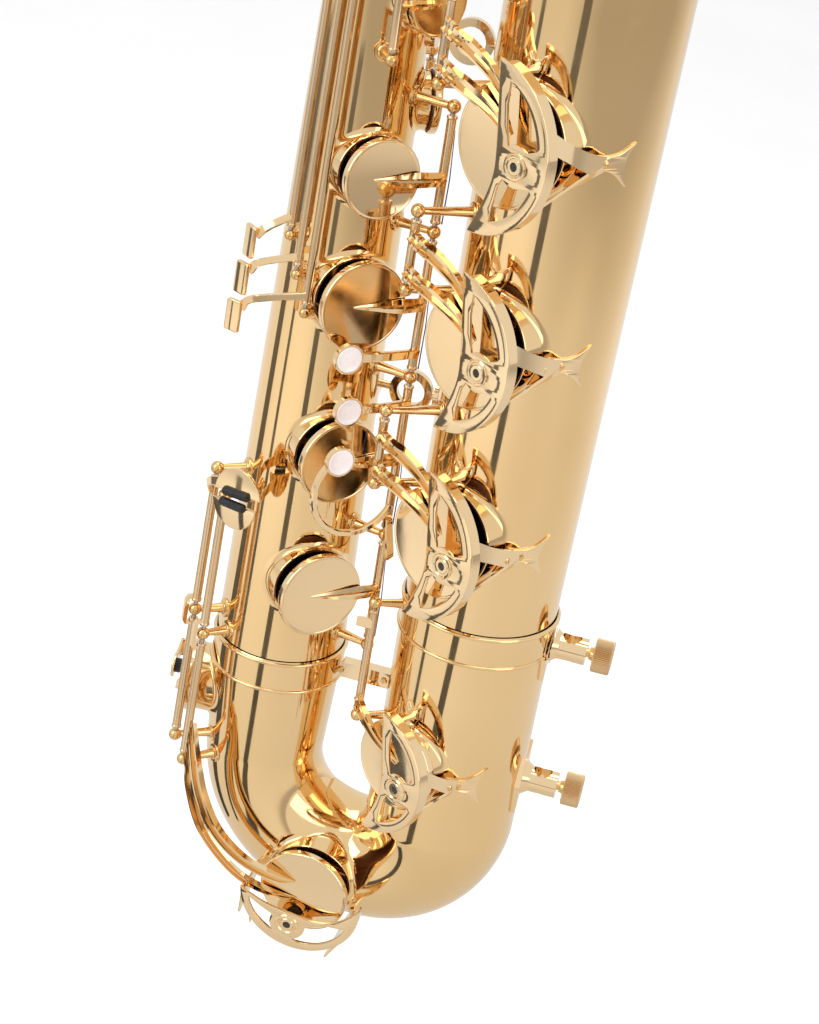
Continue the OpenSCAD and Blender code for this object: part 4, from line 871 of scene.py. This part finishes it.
def bow_arm(line):
    """Channel arm along points (around, across, out) of the bow, down to nothing at its tip."""
    run = [bow_point(*p) for p in line]
    lifts = [(p - bow_point(a, c, 0)).normalized() for p, (a, c, _) in zip(run, line)]
    widths, heights = [6.5, 8, 9, 9, 8, 6, 0.5], [3, 4, 4.6, 4.6, 4, 3, 0.5]
    path = smooth_path([(*p, w, h, *u) for p, w, h, u in zip(run, widths, heights, lifts)])
    return loft([Vector(p[:3]) for p in path],
                [[(s * p[3], t * p[4]) for s, t in CHANNEL] for p in path],
                up=[Vector(p[5:8]) for p in path])


def build_c_key():
    unplaced = on_body(LOW_ROD_AZ).inverted()
    swing = on_body(LOW_ROD_AZ) @ turned(0, LOW_ROD_Z, -C_OPEN)
    front = [(-4, 48, 62), (3, 56, 62), (13, 56, 60.5), (30, 54, 58.5), (48, 60, 56.5),
             (62, 70, 54.2), (74, 78, 51.4)]
    rear = [(-12, 48, 62), (-2, 60, 62), (12, 66, 61), (28, 70, 59), (44, 77, 56.5),
            (60, 86, 53.6), (69, 91, 51.4)]
    centre = (25, 118, 67)
    extra = [(bow_arm(front), unplaced), (bow_arm(rear), unplaced)]
    extra += [post_bridge(LOW_ROD_Z, -4, 15.5),
              arm([(0, 96, LOW_ROD_Z + 1), (8, 103, 65), (22, 112, 66)], [6, 6, 8], [3, 3, 1.6]),
              touch_plate(centre, -1)]
    key("c", swing, [(unplaced @ on_bow(C_AROUND, C_ACROSS), C_R, C_RIM)],
        [hinge_tube(0, LOW_ROD_Z, -86, -1), hinge_tube(0, LOW_ROD_Z, 12.5, 102)], extra,
        own_pad=True)
    shape, own = roller(centre, -1)
    Piece("c_roller", ROLLER, "c").add(shape, swing @ own).done()


def build_e_flat_key():
    at = on_body(E_ROD_AZ)
    cup_at = at.inverted() @ on_body(E_FLAT["az"], E_FLAT["y"])
    touch_at = at.inverted() @ on_body(LOW_ROD_AZ)
    centre = (25, 120, 67)
    shape, own = touch_plate(centre, 1)
    extra = [post_bridge(E_ROD_Z, 8.5, 27.5),
             arm([(0, 107, E_ROD_Z + 1), (8, 117, 68.6), (31, 127, 63.4)], [6, 6, 8],
                 [3, 3, 1.6]),
             (strap([(28.5, 4, 58), (16, 2, 58.6), (0, 0, 56.4)], [8, 7, 3], [3.5, 3.5, 1.6],
                    LEAF, UP), cup_at),
             (shape, touch_at @ own)]
    key("e_flat", at, [(cup_at, E_FLAT["r"], E_FLAT["rim"])],
        [hinge_tube(0, E_ROD_Z, -74, 11.5), hinge_tube(0, E_ROD_Z, 24.5, 116)], extra,
        own_pad=True)
    shape, own = roller(centre, 1)
    Piece("e_flat_roller", ROLLER, "e_flat").add(shape, at @ touch_at @ own).done()


def build_side_keys():
    corner = [p for cx, cy, a in ((3.7, 8.7, 0), (-3.7, 8.7, 90), (-3.7, -8.7, 180),
                                  (3.7, -8.7, 270)) for p in arc(cx, cy, 1.5, a, a + 90, 4)]
    for i, (name, (azimuth, y, r)) in enumerate(SIDE_KEYS.items()):
        at, z, mid, step = on_body(SIDE_RODS[i]), SIDE_ROD_Z, SIDE_MID[i], 11 * i
        low, high = 293.5 - SIDE_STEP * i, SIDE_Y[i] + 12.5
        dx = z * math.tan(math.radians(azimuth - SIDE_RODS[i]))
        over_post = [(0, mid + dy, z + dz) for dy, dz in ((-9, 2.6), (-6, 5.4), (6, 5.4), (9, 2.6))]
        extra = [arm([(0, y, z + 1.5), (dx * 0.5, y, z + 3.4), (dx, y, z + 2.2)], [6, 6, 4],
                     [2.6, 2.6, 1], LEAF),
                 arm([(0, low + 6, z + 1), (-8 - step, low - 2, 62),
                      (-14 - step, low - 9, 65.4)], [4.5, 4.5, 6], [3, 3, 2]),
                 (plate([corner], 3, 0.8), move(-17 - step, low - 14, 66) @ turn(-14, "Y")),
                 arm(over_post, [3.6] * 4, [2.0] * 4)]
        key(name, at, [(at.inverted() @ on_body(azimuth, y), r, RIM)],
            [hinge_tube(0, z, low, mid - 5.5, SMALL_TUBE_R),
             hinge_tube(0, z, mid + 5.5, high, SMALL_TUBE_R)], extra)


def build_palm_and_octave_keys():
    at = on_body(PALM_AZ)
    outline = smooth_path([(-6, 0), (6, 0), (7.4, 9), (6, 17), (0, 22), (-6, 17), (-7.4, 9),
                           (-6, 0)], 5)[:-1]
    for name, (y, r) in PALM_KEYS.items():
        extra = [arm([(0, y, PALM_Z + 1.5), (9, y, PALM_Z + 5.6), (16, y, PALM_Z + 4.8)],
                     [6, 6, 4], [2.6, 2.4, 1], LEAF),
                 arm([(0, y, PALM_Z + 1.5), (-6, y - 6, 57), (-12, y - 12, 59)], [6, 6, 7],
                     [3, 3, 2]),
                 (plate([outline], 3, 0.9), move(-13, y - 26, 59))]
        key(name, at, [(at.inverted() @ on_body(PALM_HOLE_AZ, y), r, RIM)],
            [hinge_tube(0, PALM_Z, y - 11, y + 11, SMALL_TUBE_R)], extra)
    extra = [arm([(0, 584, PALM_Z + 1.5), (7, 583, 56), (13, 580, 58)], [7, 7, 8], [3, 3, 2]),
             (plate([arc(0, 0, 8, 0, 350, 35)], 3, 0.8), move(15, 578, 57)),
             arm([(0, 628, PALM_Z + 1.5), (-10, 634, 57)], [6, 5], [3, 3])]
    key("octave", on_body(OCTAVE_AZ), [], [hinge_tube(0, PALM_Z, 579, 635, SMALL_TUBE_R)], extra)


# ---------------------------------------------------------------- guards
GUARD_R, GUARD_C, BOSS = 52.0, (-9.0, -1.0), (19.0, -5.0)
GUARD_Z, GUARD_T, GUARD_EDGE, BUMPER_R = 68.6, 1.8, 0.35, 5.0
GUARD_SCALE = {"low_a": 1.0, "b_flat": 0.98, "b": 0.97, "c_sharp": 0.86}
LEG_X, LEG_Y, STRUT_END = 37.6, -3.0, 5.0
C_SHARP_LIFT, E_FLAT_LIFT = 4.2, 17.5
C_BOSS_Y = -24.0


def any_distance(p):
    """Distance to the nearest tube of the bell and bow."""
    return bell_distance(p) if p.z > BELL_FOOT else bow_distance(p)


def boss_eye(x, y):
    """Outline of the hole for a bumper."""
    return arc(x, y, BUMPER_R + 0.6, 0, 352, 44)


def crescent(k):
    """Outline and windows of a bell-key guard; k is 1 over the largest cup."""
    left = smooth_path([(-6, 50.9), (-1.5, 27), (2, 7), (4, -13), (0, -31), (-9, -53)], 8)
    outline = arc(*GUARD_C, GUARD_R, -90, 86, 60) + [tuple(p) for p in left[1:-1]]
    upper = (arc(*GUARD_C, 43.5, 71, 13, 22) + arc(*BOSS, 12.4, 55, 128, 12)
             + [(8, 16), (5.6, 27)])
    lower = (arc(*GUARD_C, 44, -17, -70, 20) + [(6.6, -34), (8.4, -20)]
             + arc(*BOSS, 12.4, 232, 297, 10))
    return [[(x * k, y * k) for x, y in loop] for loop in (outline, upper, lower, boss_eye(*BOSS))]


def boss_ring(z):
    r = BUMPER_R
    return lathe([(r + 0.05, z - 2.5), (r + 2.6, z - 2.5), (r + 3.2, z - 1.9), (r + 3.2, z + 2.2),
                  (r + 2.6, z + 2.8), (r + 1.6, z + 2.9), (r + 1.0, z + 2.2), (r + 0.05, z + 2.1),
                  (r + 0.05, z - 2.5)], 56)


def rim_band(line, z, depth):
    """Band that hangs from a guard's edge line."""
    section = [(-0.75, -depth), (0.75, -depth), (0.75, 0.9), (-0.75, 0.9)]
    return loft([(x, y, z) for x, y in line], [section] * len(line), up=UP)


def upright(outline, place):
    """Plate that stands on edge at a place."""
    return plate([outline], 1.6, 0.3), place @ turn(90, "Z") @ turn(90, "X")


def bumper_and_felt(name, at, low, top, edge, sides, *replaced):
    """Slotted bumper over a felt tip that starts at low and has the given lower edge."""
    r = BUMPER_R
    Piece(name + "_bumper", KEY_BRASS).add(
        lathe([(0, low + 2), (r, low + 2), (r, top - 0.5), (r - 0.5, top), (2.7, top),
               (2.4, top - 1.4), (0, top - 1.4)], 40), at).done()
    felt = Piece(name + "_felt", FELT)
    felt.add(lathe([(0, low), *edge, (r - 0.2, low + 2.1), (0, low + 2.1)], sides), at)
    felt.add(lathe([(0, top - 0.9), (2.5, top - 0.9), (2.5, top - 1.6), (0, top - 1.6)], 28), at)
    felt.done(*replaced)


def sheet(first, second, thickness):
    """Thin sheet between two edge lines that have the same number of points."""
    vertices, rings = [], []
    for i, (p, q) in enumerate(zip(first, second)):
        ahead, behind = min(i + 1, len(first) - 1), max(i - 1, 0)
        along = (first[ahead] + second[ahead]) - (first[behind] + second[behind])
        normal = along.cross(q - p).normalized() * thickness / 2
        rings.append([len(vertices) + n for n in range(4)])
        vertices += [p - normal, q - normal, q + normal, p + normal]
    return vertices, bridge(rings, 4) + [rings[0][::-1], rings[-1]]


def strut(plate_at, foot_at, k):
    """Two bands that run from the skirt to the side foot, with an open triangle between."""
    def skirt(degrees):
        a, r = math.radians(degrees), GUARD_R * k - 0.9
        return plate_at @ Vector((GUARD_C[0] * k + r * math.cos(a),
                                  GUARD_C[1] * k + r * math.sin(a), GUARD_Z - 5.6))

    foot_z = surface_height(foot_at, STRUT_END, 0, any_distance)
    tip = foot_at @ Vector((STRUT_END, 0, foot_z + 1.5))
    edge = foot_at.to_3x3() @ Vector((0, 4.6, 0))
    window = tip.lerp(skirt(-24), 0.26)
    rows = 12
    bands = []
    for start, near, end, sag in ((24, 10, tip + edge, 0.3), (-78, -62, tip - edge, 0.02)):
        bend = skirt(start).lerp(end, 0.5).lerp(window, sag)
        outer = [skirt(start) * (1 - t) ** 2 + bend * (2 * t * (1 - t)) + end * t * t
                 for t in (i / rows for i in range(rows + 1))]
        inner = [skirt(near).lerp(window, i / 8) if i < 8 else window.lerp(tip, (i - 8) / 4)
                 for i in range(rows + 1)]
        bands.append(sheet(outer, inner, 1.5))
    return bands


def lying_plate(outline, place):
    """Plate whose points follow the tube under them."""
    vertices, faces = plate([[tuple(p) for p in outline]], 1.8, 0.4)
    return [(x, y, z + surface_height(place, x, y, any_distance) - 0.2)
            for x, y, z in vertices], faces


def bell_guard(key_name, az, y, hx, hz, opening, lift, bumper_from):
    name, k, at = key_name + "_guard", GUARD_SCALE[key_name], on_bell(az, y)
    plate_at = at @ turned(hx, hz, -opening) @ move(0, 0, lift)
    boss_at = plate_at @ move(BOSS[0] * k, BOSS[1] * k, 0)
    foot_at = on_bell(az + math.degrees(math.asin(LEG_X * k / BELL_R)), y + LEG_Y)
    guard = Piece(name + "_plate", KEY_BRASS)
    guard.add(plate(crescent(k), GUARD_T, GUARD_EDGE), plate_at @ move(0, 0, GUARD_Z))
    guard.add(boss_ring(GUARD_Z), boss_at)
    skirt = arc(GUARD_C[0] * k, GUARD_C[1] * k, GUARD_R * k - 0.9, -56, 80, 48)
    guard.add(rim_band(skirt, GUARD_Z, 6.4), plate_at)
    for band in strut(plate_at, foot_at, k):
        guard.add(band)
    fork = smooth_path([(-3, -4.6), (6, -4.4), (13, -7), (21, -14), (18.6, -6), (18, 0),
                        (19.6, 7), (23, 13), (14, 6.6), (6, 4.4), (-3, 4.6)], 5)
    bracket = smooth_path([(-5, 0), (-4, 9), (-1, 14), (3.4, 9.4), (10, 14), (10, 6), (7, 0)], 5)
    for outline, place in ((fork, foot_at), (bracket, at @ move(-2, 38 * k, 0))):
        guard.add(lying_plate(outline, place), place)
    swing = math.radians(opening)
    high = hz + (GUARD_Z + lift - hz) * math.cos(swing) - hx * math.sin(swing)
    guard.add(strap([(0, 38 * k + 3, BELL_R - 1), (0, 38 * k + 3.4, 60),
                     (0, 38 * k + 3, high - 4), (-0.5, 38 * k + 2, high + 0.6)],
                    [9, 7.4, 7.4, 8], [2, 2, 2, 1.6], BAR, up=(0, 1, 0)), at)
    guard.done(name)
    rise = surface_height(foot_at, STRUT_END, 0, any_distance) + 2.1
    Piece(name + "_foot_screw", DEEP_BRASS).add(
        lathe([(0, -1), (2.5, -1), (2.5, 0.3), (2.1, 0.8), (0.6, 1.1), (0.5, 0.5), (0, 0.5)], 28),
        foot_at @ move(STRUT_END, 0, rise)).done()
    bumper_and_felt(name, boss_at, bumper_from, GUARD_Z + 2.6,
                    [(BUMPER_R - 0.6, bumper_from), (BUMPER_R - 0.2, bumper_from + 0.5)], 40)


def build_c_guard():
    at, z = on_bow(C_AROUND, C_ACROSS) @ turn(-90, "Z"), C_RIM + 20
    boss_at = at @ move(0, C_BOSS_Y, 0)
    back = smooth_path([(39.9, 16), (28, -3), (16, -11), (4, -13.4), (-8, -15), (-22, -16),
                        (-41, -13.5)])
    outline = arc(0, 0, 42.2, -162, 22, 64) + [tuple(p) for p in back[1:-1]]
    left = (arc(0, 0, 36.5, -157, -108, 16) + arc(0, C_BOSS_Y, 12.6, 234, 172, 8)
            + [(-22, -20.5), (-32, -18)])
    right = (arc(0, 0, 36.5, -72, -8, 20) + [(24, -9.6), (17, -15.6)]
             + arc(0, C_BOSS_Y, 12.6, 18, -52, 9))
    guard = Piece("c_guard_plate", KEY_BRASS)
    guard.add(plate([outline, left, right, boss_eye(0, C_BOSS_Y)], GUARD_T, GUARD_EDGE),
              at @ move(0, 0, z))
    guard.add(boss_ring(z), boss_at)
    guard.add(rim_band(arc(0, 0, 41.4, -160, 20, 56), z, 5.5), at)
    high = z - 19
    for s in (-1, 1):
        guard.add(*upright([(-5, 8), (5, 8), (5, high), (-14, high), (-12, high - 8)],
                           at @ turn(-s * 14, "Z") @ move(s * 40.4 - 0.8, -12, 20)))
    guard.done("c_guard")
    bumper_and_felt("c_guard", boss_at, z - 4, z + 2.6, [(BUMPER_R - 0.4, z - 4)], 36,
                    "guard_bumpers")


def build_e_flat_guard():
    at, z = on_body(E_FLAT["az"], E_FLAT["y"]), E_FLAT["rim"] + E_FLAT_LIFT
    outline = [(-32, -6.5), (-16, -6.5), *arc(-6, 0, 8.5, -120, 120, 24), (-16, 6.5), (-32, 6.5)]
    guard = Piece("e_flat_guard_plate", KEY_BRASS)
    guard.add(plate([outline, arc(-6, 0, BUMPER_R + 0.05, 0, 350, 35)], GUARD_T, GUARD_EDGE),
              at @ move(0, 0, z))
    high = z - 28.2
    guard.add(*upright([(-6.5, 6), (6.5, 6), (6.5, high), (-6.5, high)], at @ move(-32, 0, 30)))
    guard.done("e_flat_guard")
    Piece("e_flat_bumper", FELT).add(
        lathe([(0, z - 4), (4.6, z - 4), (5, z - 3.4), (5, z + 2), (4.4, z + 2.4), (0, z + 2.4)],
              36), at @ move(-6, 0, 0)).done()


def build_guards():
    for name, (y, _) in BELL_KEYS.items():
        bell_guard(name, BELL_AZ, y, BELL_HX, BELL_HZ, BELL_OPEN, 0, cup_top(BELL_RIM) + GAP)
    bell_guard("c_sharp", C_SHARP["az"], C_SHARP["y"], C_SHARP["hx"], C_SHARP["hz"], 0,
               C_SHARP_LIFT, GUARD_Z - 1.8)
    build_c_guard()
    build_e_flat_guard()


# ---------------------------------------------------------------- peg receivers
def knurled(teeth, r):
    """Knob of two knurled bands between plain end faces, along z."""
    vertices, rings = [], []
    for z, deep in ((9, 0), (9.6, 1), (14.4, 1), (15, 0.6), (15.6, 1), (20.4, 1), (21, 0)):
        rings.append(range(len(vertices), len(vertices) + teeth * 2))
        for i in range(teeth * 2):
            a = math.pi * i / teeth
            out = r - (0.7 if i % 2 and deep else 0.0) - (0.0 if deep else 0.5)
            vertices.append((out * math.cos(a), out * math.sin(a), z))
    rings = [list(ring) for ring in rings]
    return vertices, bridge(rings, teeth * 2) + [rings[0][::-1], rings[-1]]


def build_receivers():
    for name, z in (("lower", 0.0), ("upper", 104.5)):
        paint(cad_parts[name + "_peg_receiver"], KEY_BRASS)
        screw, at = name + "_peg_screw", move(6.8, 0, z) @ turn(90, "Y")
        Piece(name + "_peg_knob", KNURL, screw).add(knurled(56, 11.3), at).done(screw, smooth=20)
        Piece(name + "_peg_shank", DEEP_BRASS, screw).add(
            lathe([(0, 0), (2.6, 0), (3, 0.5), (3, 6), (4, 6), (4.2, 7), (5, 9.6), (0, 9.6)], 40),
            at).done()


# ---------------------------------------------------------------- CAD nodes that stay
def paint(node, material):
    """Gives a CAD node one material and smooth shading."""
    node.data.materials.clear()
    node.data.materials.append(material)
    node.data.shade_smooth()


def finish_node(name, material):
    """Material and softened edges for a CAD node that is shown as it is."""
    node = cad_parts[name]
    paint(node, material)
    node.data.set_sharp_from_angle(angle=math.radians(30))
    rounding = node.modifiers.new("edges", "BEVEL")
    rounding.width = 0.25 * MM
    rounding.segments = 2
    rounding.limit_method = "ANGLE"
    rounding.angle_limit = math.radians(40)


# ---------------------------------------------------------------- stage
FLOOR_DROP, CARD_DROP, FLAG_DROP = 0.35, 0.33, 0.30
MIDDLE = Vector((-0.12, 0, 0))


def flat_sheet(name, corners, material, mirrored_only=False):
    """Sheet of the stage; mirrored_only keeps it out of the picture but in reflections."""
    mesh = bpy.data.meshes.new(name)
    mesh.from_pydata([tuple(p) for p in corners], [], [[0, 1, 2, 3]])
    mesh.materials.append(material)
    obj = bpy.data.objects.new(name, mesh)
    bpy.context.scene.collection.objects.link(obj)
    if mirrored_only:
        obj.visible_camera = False
        obj.visible_shadow = False
        obj.visible_diffuse = False


def square(half, z):
    """Corners of a level square around the origin."""
    return [(-half, -half, z), (half, -half, z), (half, half, z), (-half, half, z)]


def build_floor():
    material, nodes, links = node_tree("pale_floor")
    shader = nodes["Principled BSDF"]
    links.new(colour_mix(nodes, links, noise(nodes, links, 3.0), (0.94, 0.94, 0.94),
                         (0.96, 0.96, 0.96)), shader.inputs["Base Color"])
    shader.inputs["Roughness"].default_value = 0.9
    shader.inputs["Emission Color"].default_value = (1, 1, 1, 1)
    shader.inputs["Emission Strength"].default_value = 0.08
    flat_sheet("studio_floor", square(8.0, cad_box[0][2] - FLOOR_DROP), material)


def vector_value(nodes, links, operation, other=(0, 0, 0)):
    """A number from the object's coordinates, such as their length."""
    coords = nodes.new("ShaderNodeTexCoord")
    out = nodes.new("ShaderNodeVectorMath")
    out.operation = operation
    out.inputs[1].default_value = other
    links.new(coords.outputs["Object"], out.inputs[0])
    return out.outputs["Value"]


def build_mirrored_card():
    """Card over the floor, seen only in reflections: painted shade, darker near the instrument and
    far to one side.
    """
    material, nodes, links = node_tree("painted_shade_card")
    shader = nodes["Principled BSDF"]
    shader.inputs["Roughness"].default_value = 0.95
    reach = vector_value(nodes, links, "LENGTH")
    slope = vector_value(nodes, links, "DOT_PRODUCT", (0.85, -0.52, 0))
    # Painted shade: the floor seen in the metal is dimmed near the instrument, as under its shadow,
    # and on the side away from the key light.
    dim = nodes.new("ShaderNodeMix")
    dim.data_type = "RGBA"
    links.new(ramp(nodes, links, slope, 0, 1, 0.2, 2.6), dim.inputs[0])
    links.new(colour_mix(nodes, links, reach, (0.56, 0.55, 0.54), (0.86, 0.85, 0.84), 0.35, 1.9),
              dim.inputs[6])
    dim.inputs[7].default_value = (0.5, 0.48, 0.46, 1)
    links.new(dim.outputs[2], shader.inputs["Base Color"])
    flat_sheet("painted_shade_card", square(7.5, cad_box[0][2] - CARD_DROP), material, True)


def build_world():
    world = bpy.data.worlds.new("studio")
    bpy.context.scene.world = world
    world.use_nodes = True
    background = world.node_tree.nodes["Background"]
    background.inputs["Color"].default_value = (1, 1, 1, 1)
    background.inputs["Strength"].default_value = 0.88


def area_light(name, place, size, power):
    light = bpy.data.lights.new(name, "AREA")
    light.shape = "RECTANGLE"
    light.size, light.size_y = size
    light.energy = power
    obj = bpy.data.objects.new(name, light)
    bpy.context.scene.collection.objects.link(obj)
    obj.location = place
    aim = MIDDLE + Vector((0, 0, 0.2)) - Vector(place)
    obj.rotation_euler = aim.to_track_quat("-Z", "Y").to_euler()


def dark_flag(name, near_azimuth, far_azimuth, width):
    """Dark strip just over the floor, seen only as a dark line reflected in the metal."""
    near, far = 0.35, 4.2
    start = MIDDLE + Vector((0, 0, cad_box[0][2] - FLAG_DROP))
    spots = []
    for azimuth, reach, sign in ((near_azimuth, near, -1), (near_azimuth, near, 1),
                                 (far_azimuth, far, 1), (far_azimuth, far, -1)):
        a = math.radians(azimuth)
        out, side = Vector((math.sin(a), -math.cos(a), 0)), Vector((math.cos(a), math.sin(a), 0))
        spots.append(start + (out + side * sign * width) * reach)
    flat_sheet(name, spots, FELT, True)


CAMERA_PLACE, CAMERA_LENS = (0.095908, -1.285276, 0.821479), 79.295


def build_camera():
    azimuth, elevation, roll = math.radians(9.55), math.radians(26.5), math.radians(10.06)
    level = math.cos(elevation)
    back = Vector((math.sin(azimuth) * level, -math.cos(azimuth) * level, math.sin(elevation)))
    right = Vector((math.cos(azimuth), math.sin(azimuth), 0))
    up = back.cross(right)
    x_axis = right * math.cos(roll) + up * math.sin(roll)
    y_axis = up * math.cos(roll) - right * math.sin(roll)
    camera = bpy.data.cameras.new("camera")
    camera.lens = CAMERA_LENS
    camera.clip_start, camera.clip_end = 0.05, 50
    obj = bpy.data.objects.new("camera", camera)
    bpy.context.scene.collection.objects.link(obj)
    obj.matrix_world = (Matrix.Translation(CAMERA_PLACE)
                        @ Matrix((x_axis, y_axis, back)).transposed().to_4x4())
    bpy.context.scene.camera = obj


build_body_tube()
build_bell()
build_lower_bow()
build_ferrules()
build_bow_plate()
build_posts_and_springs()
build_bell_keys()
build_lower_stack()
build_upper_stack()
build_c_key()
build_e_flat_key()
build_side_keys()
build_palm_and_octave_keys()
build_guards()
build_receivers()
for node_name, node_material in (
        ("upper_bow", BRASS), ("neck", BRASS), ("ligature", KEY_BRASS), ("neck_cork", CORK),
        ("mouthpiece", EBONITE), ("reed", CANE), ("braces", KEY_BRASS),
        ("body_fittings", KEY_BRASS), ("screws", DEEP_BRASS), ("neck_octave_key", KEY_BRASS),
        ("hinge_rods", STEEL)):
    finish_node(node_name, node_material)
build_floor()
build_mirrored_card()
build_world()
area_light("key_softbox", (-1.6, -1.6, 1.6), (1.4, 2.2), 20)
area_light("fill_softbox", (1.7, -1.2, 1.0), (1.0, 2.2), 8)
area_light("top_softbox", (0, 0.2, 2.6), (2.0, 2.0), 24)
dark_flag("front_flag", -46, -4, 0.085)
dark_flag("body_flag", -70, -60, 0.05)
dark_flag("left_flag", -102, -90, 0.13)
build_camera()
bpy.context.scene.view_settings.view_transform = "Standard"
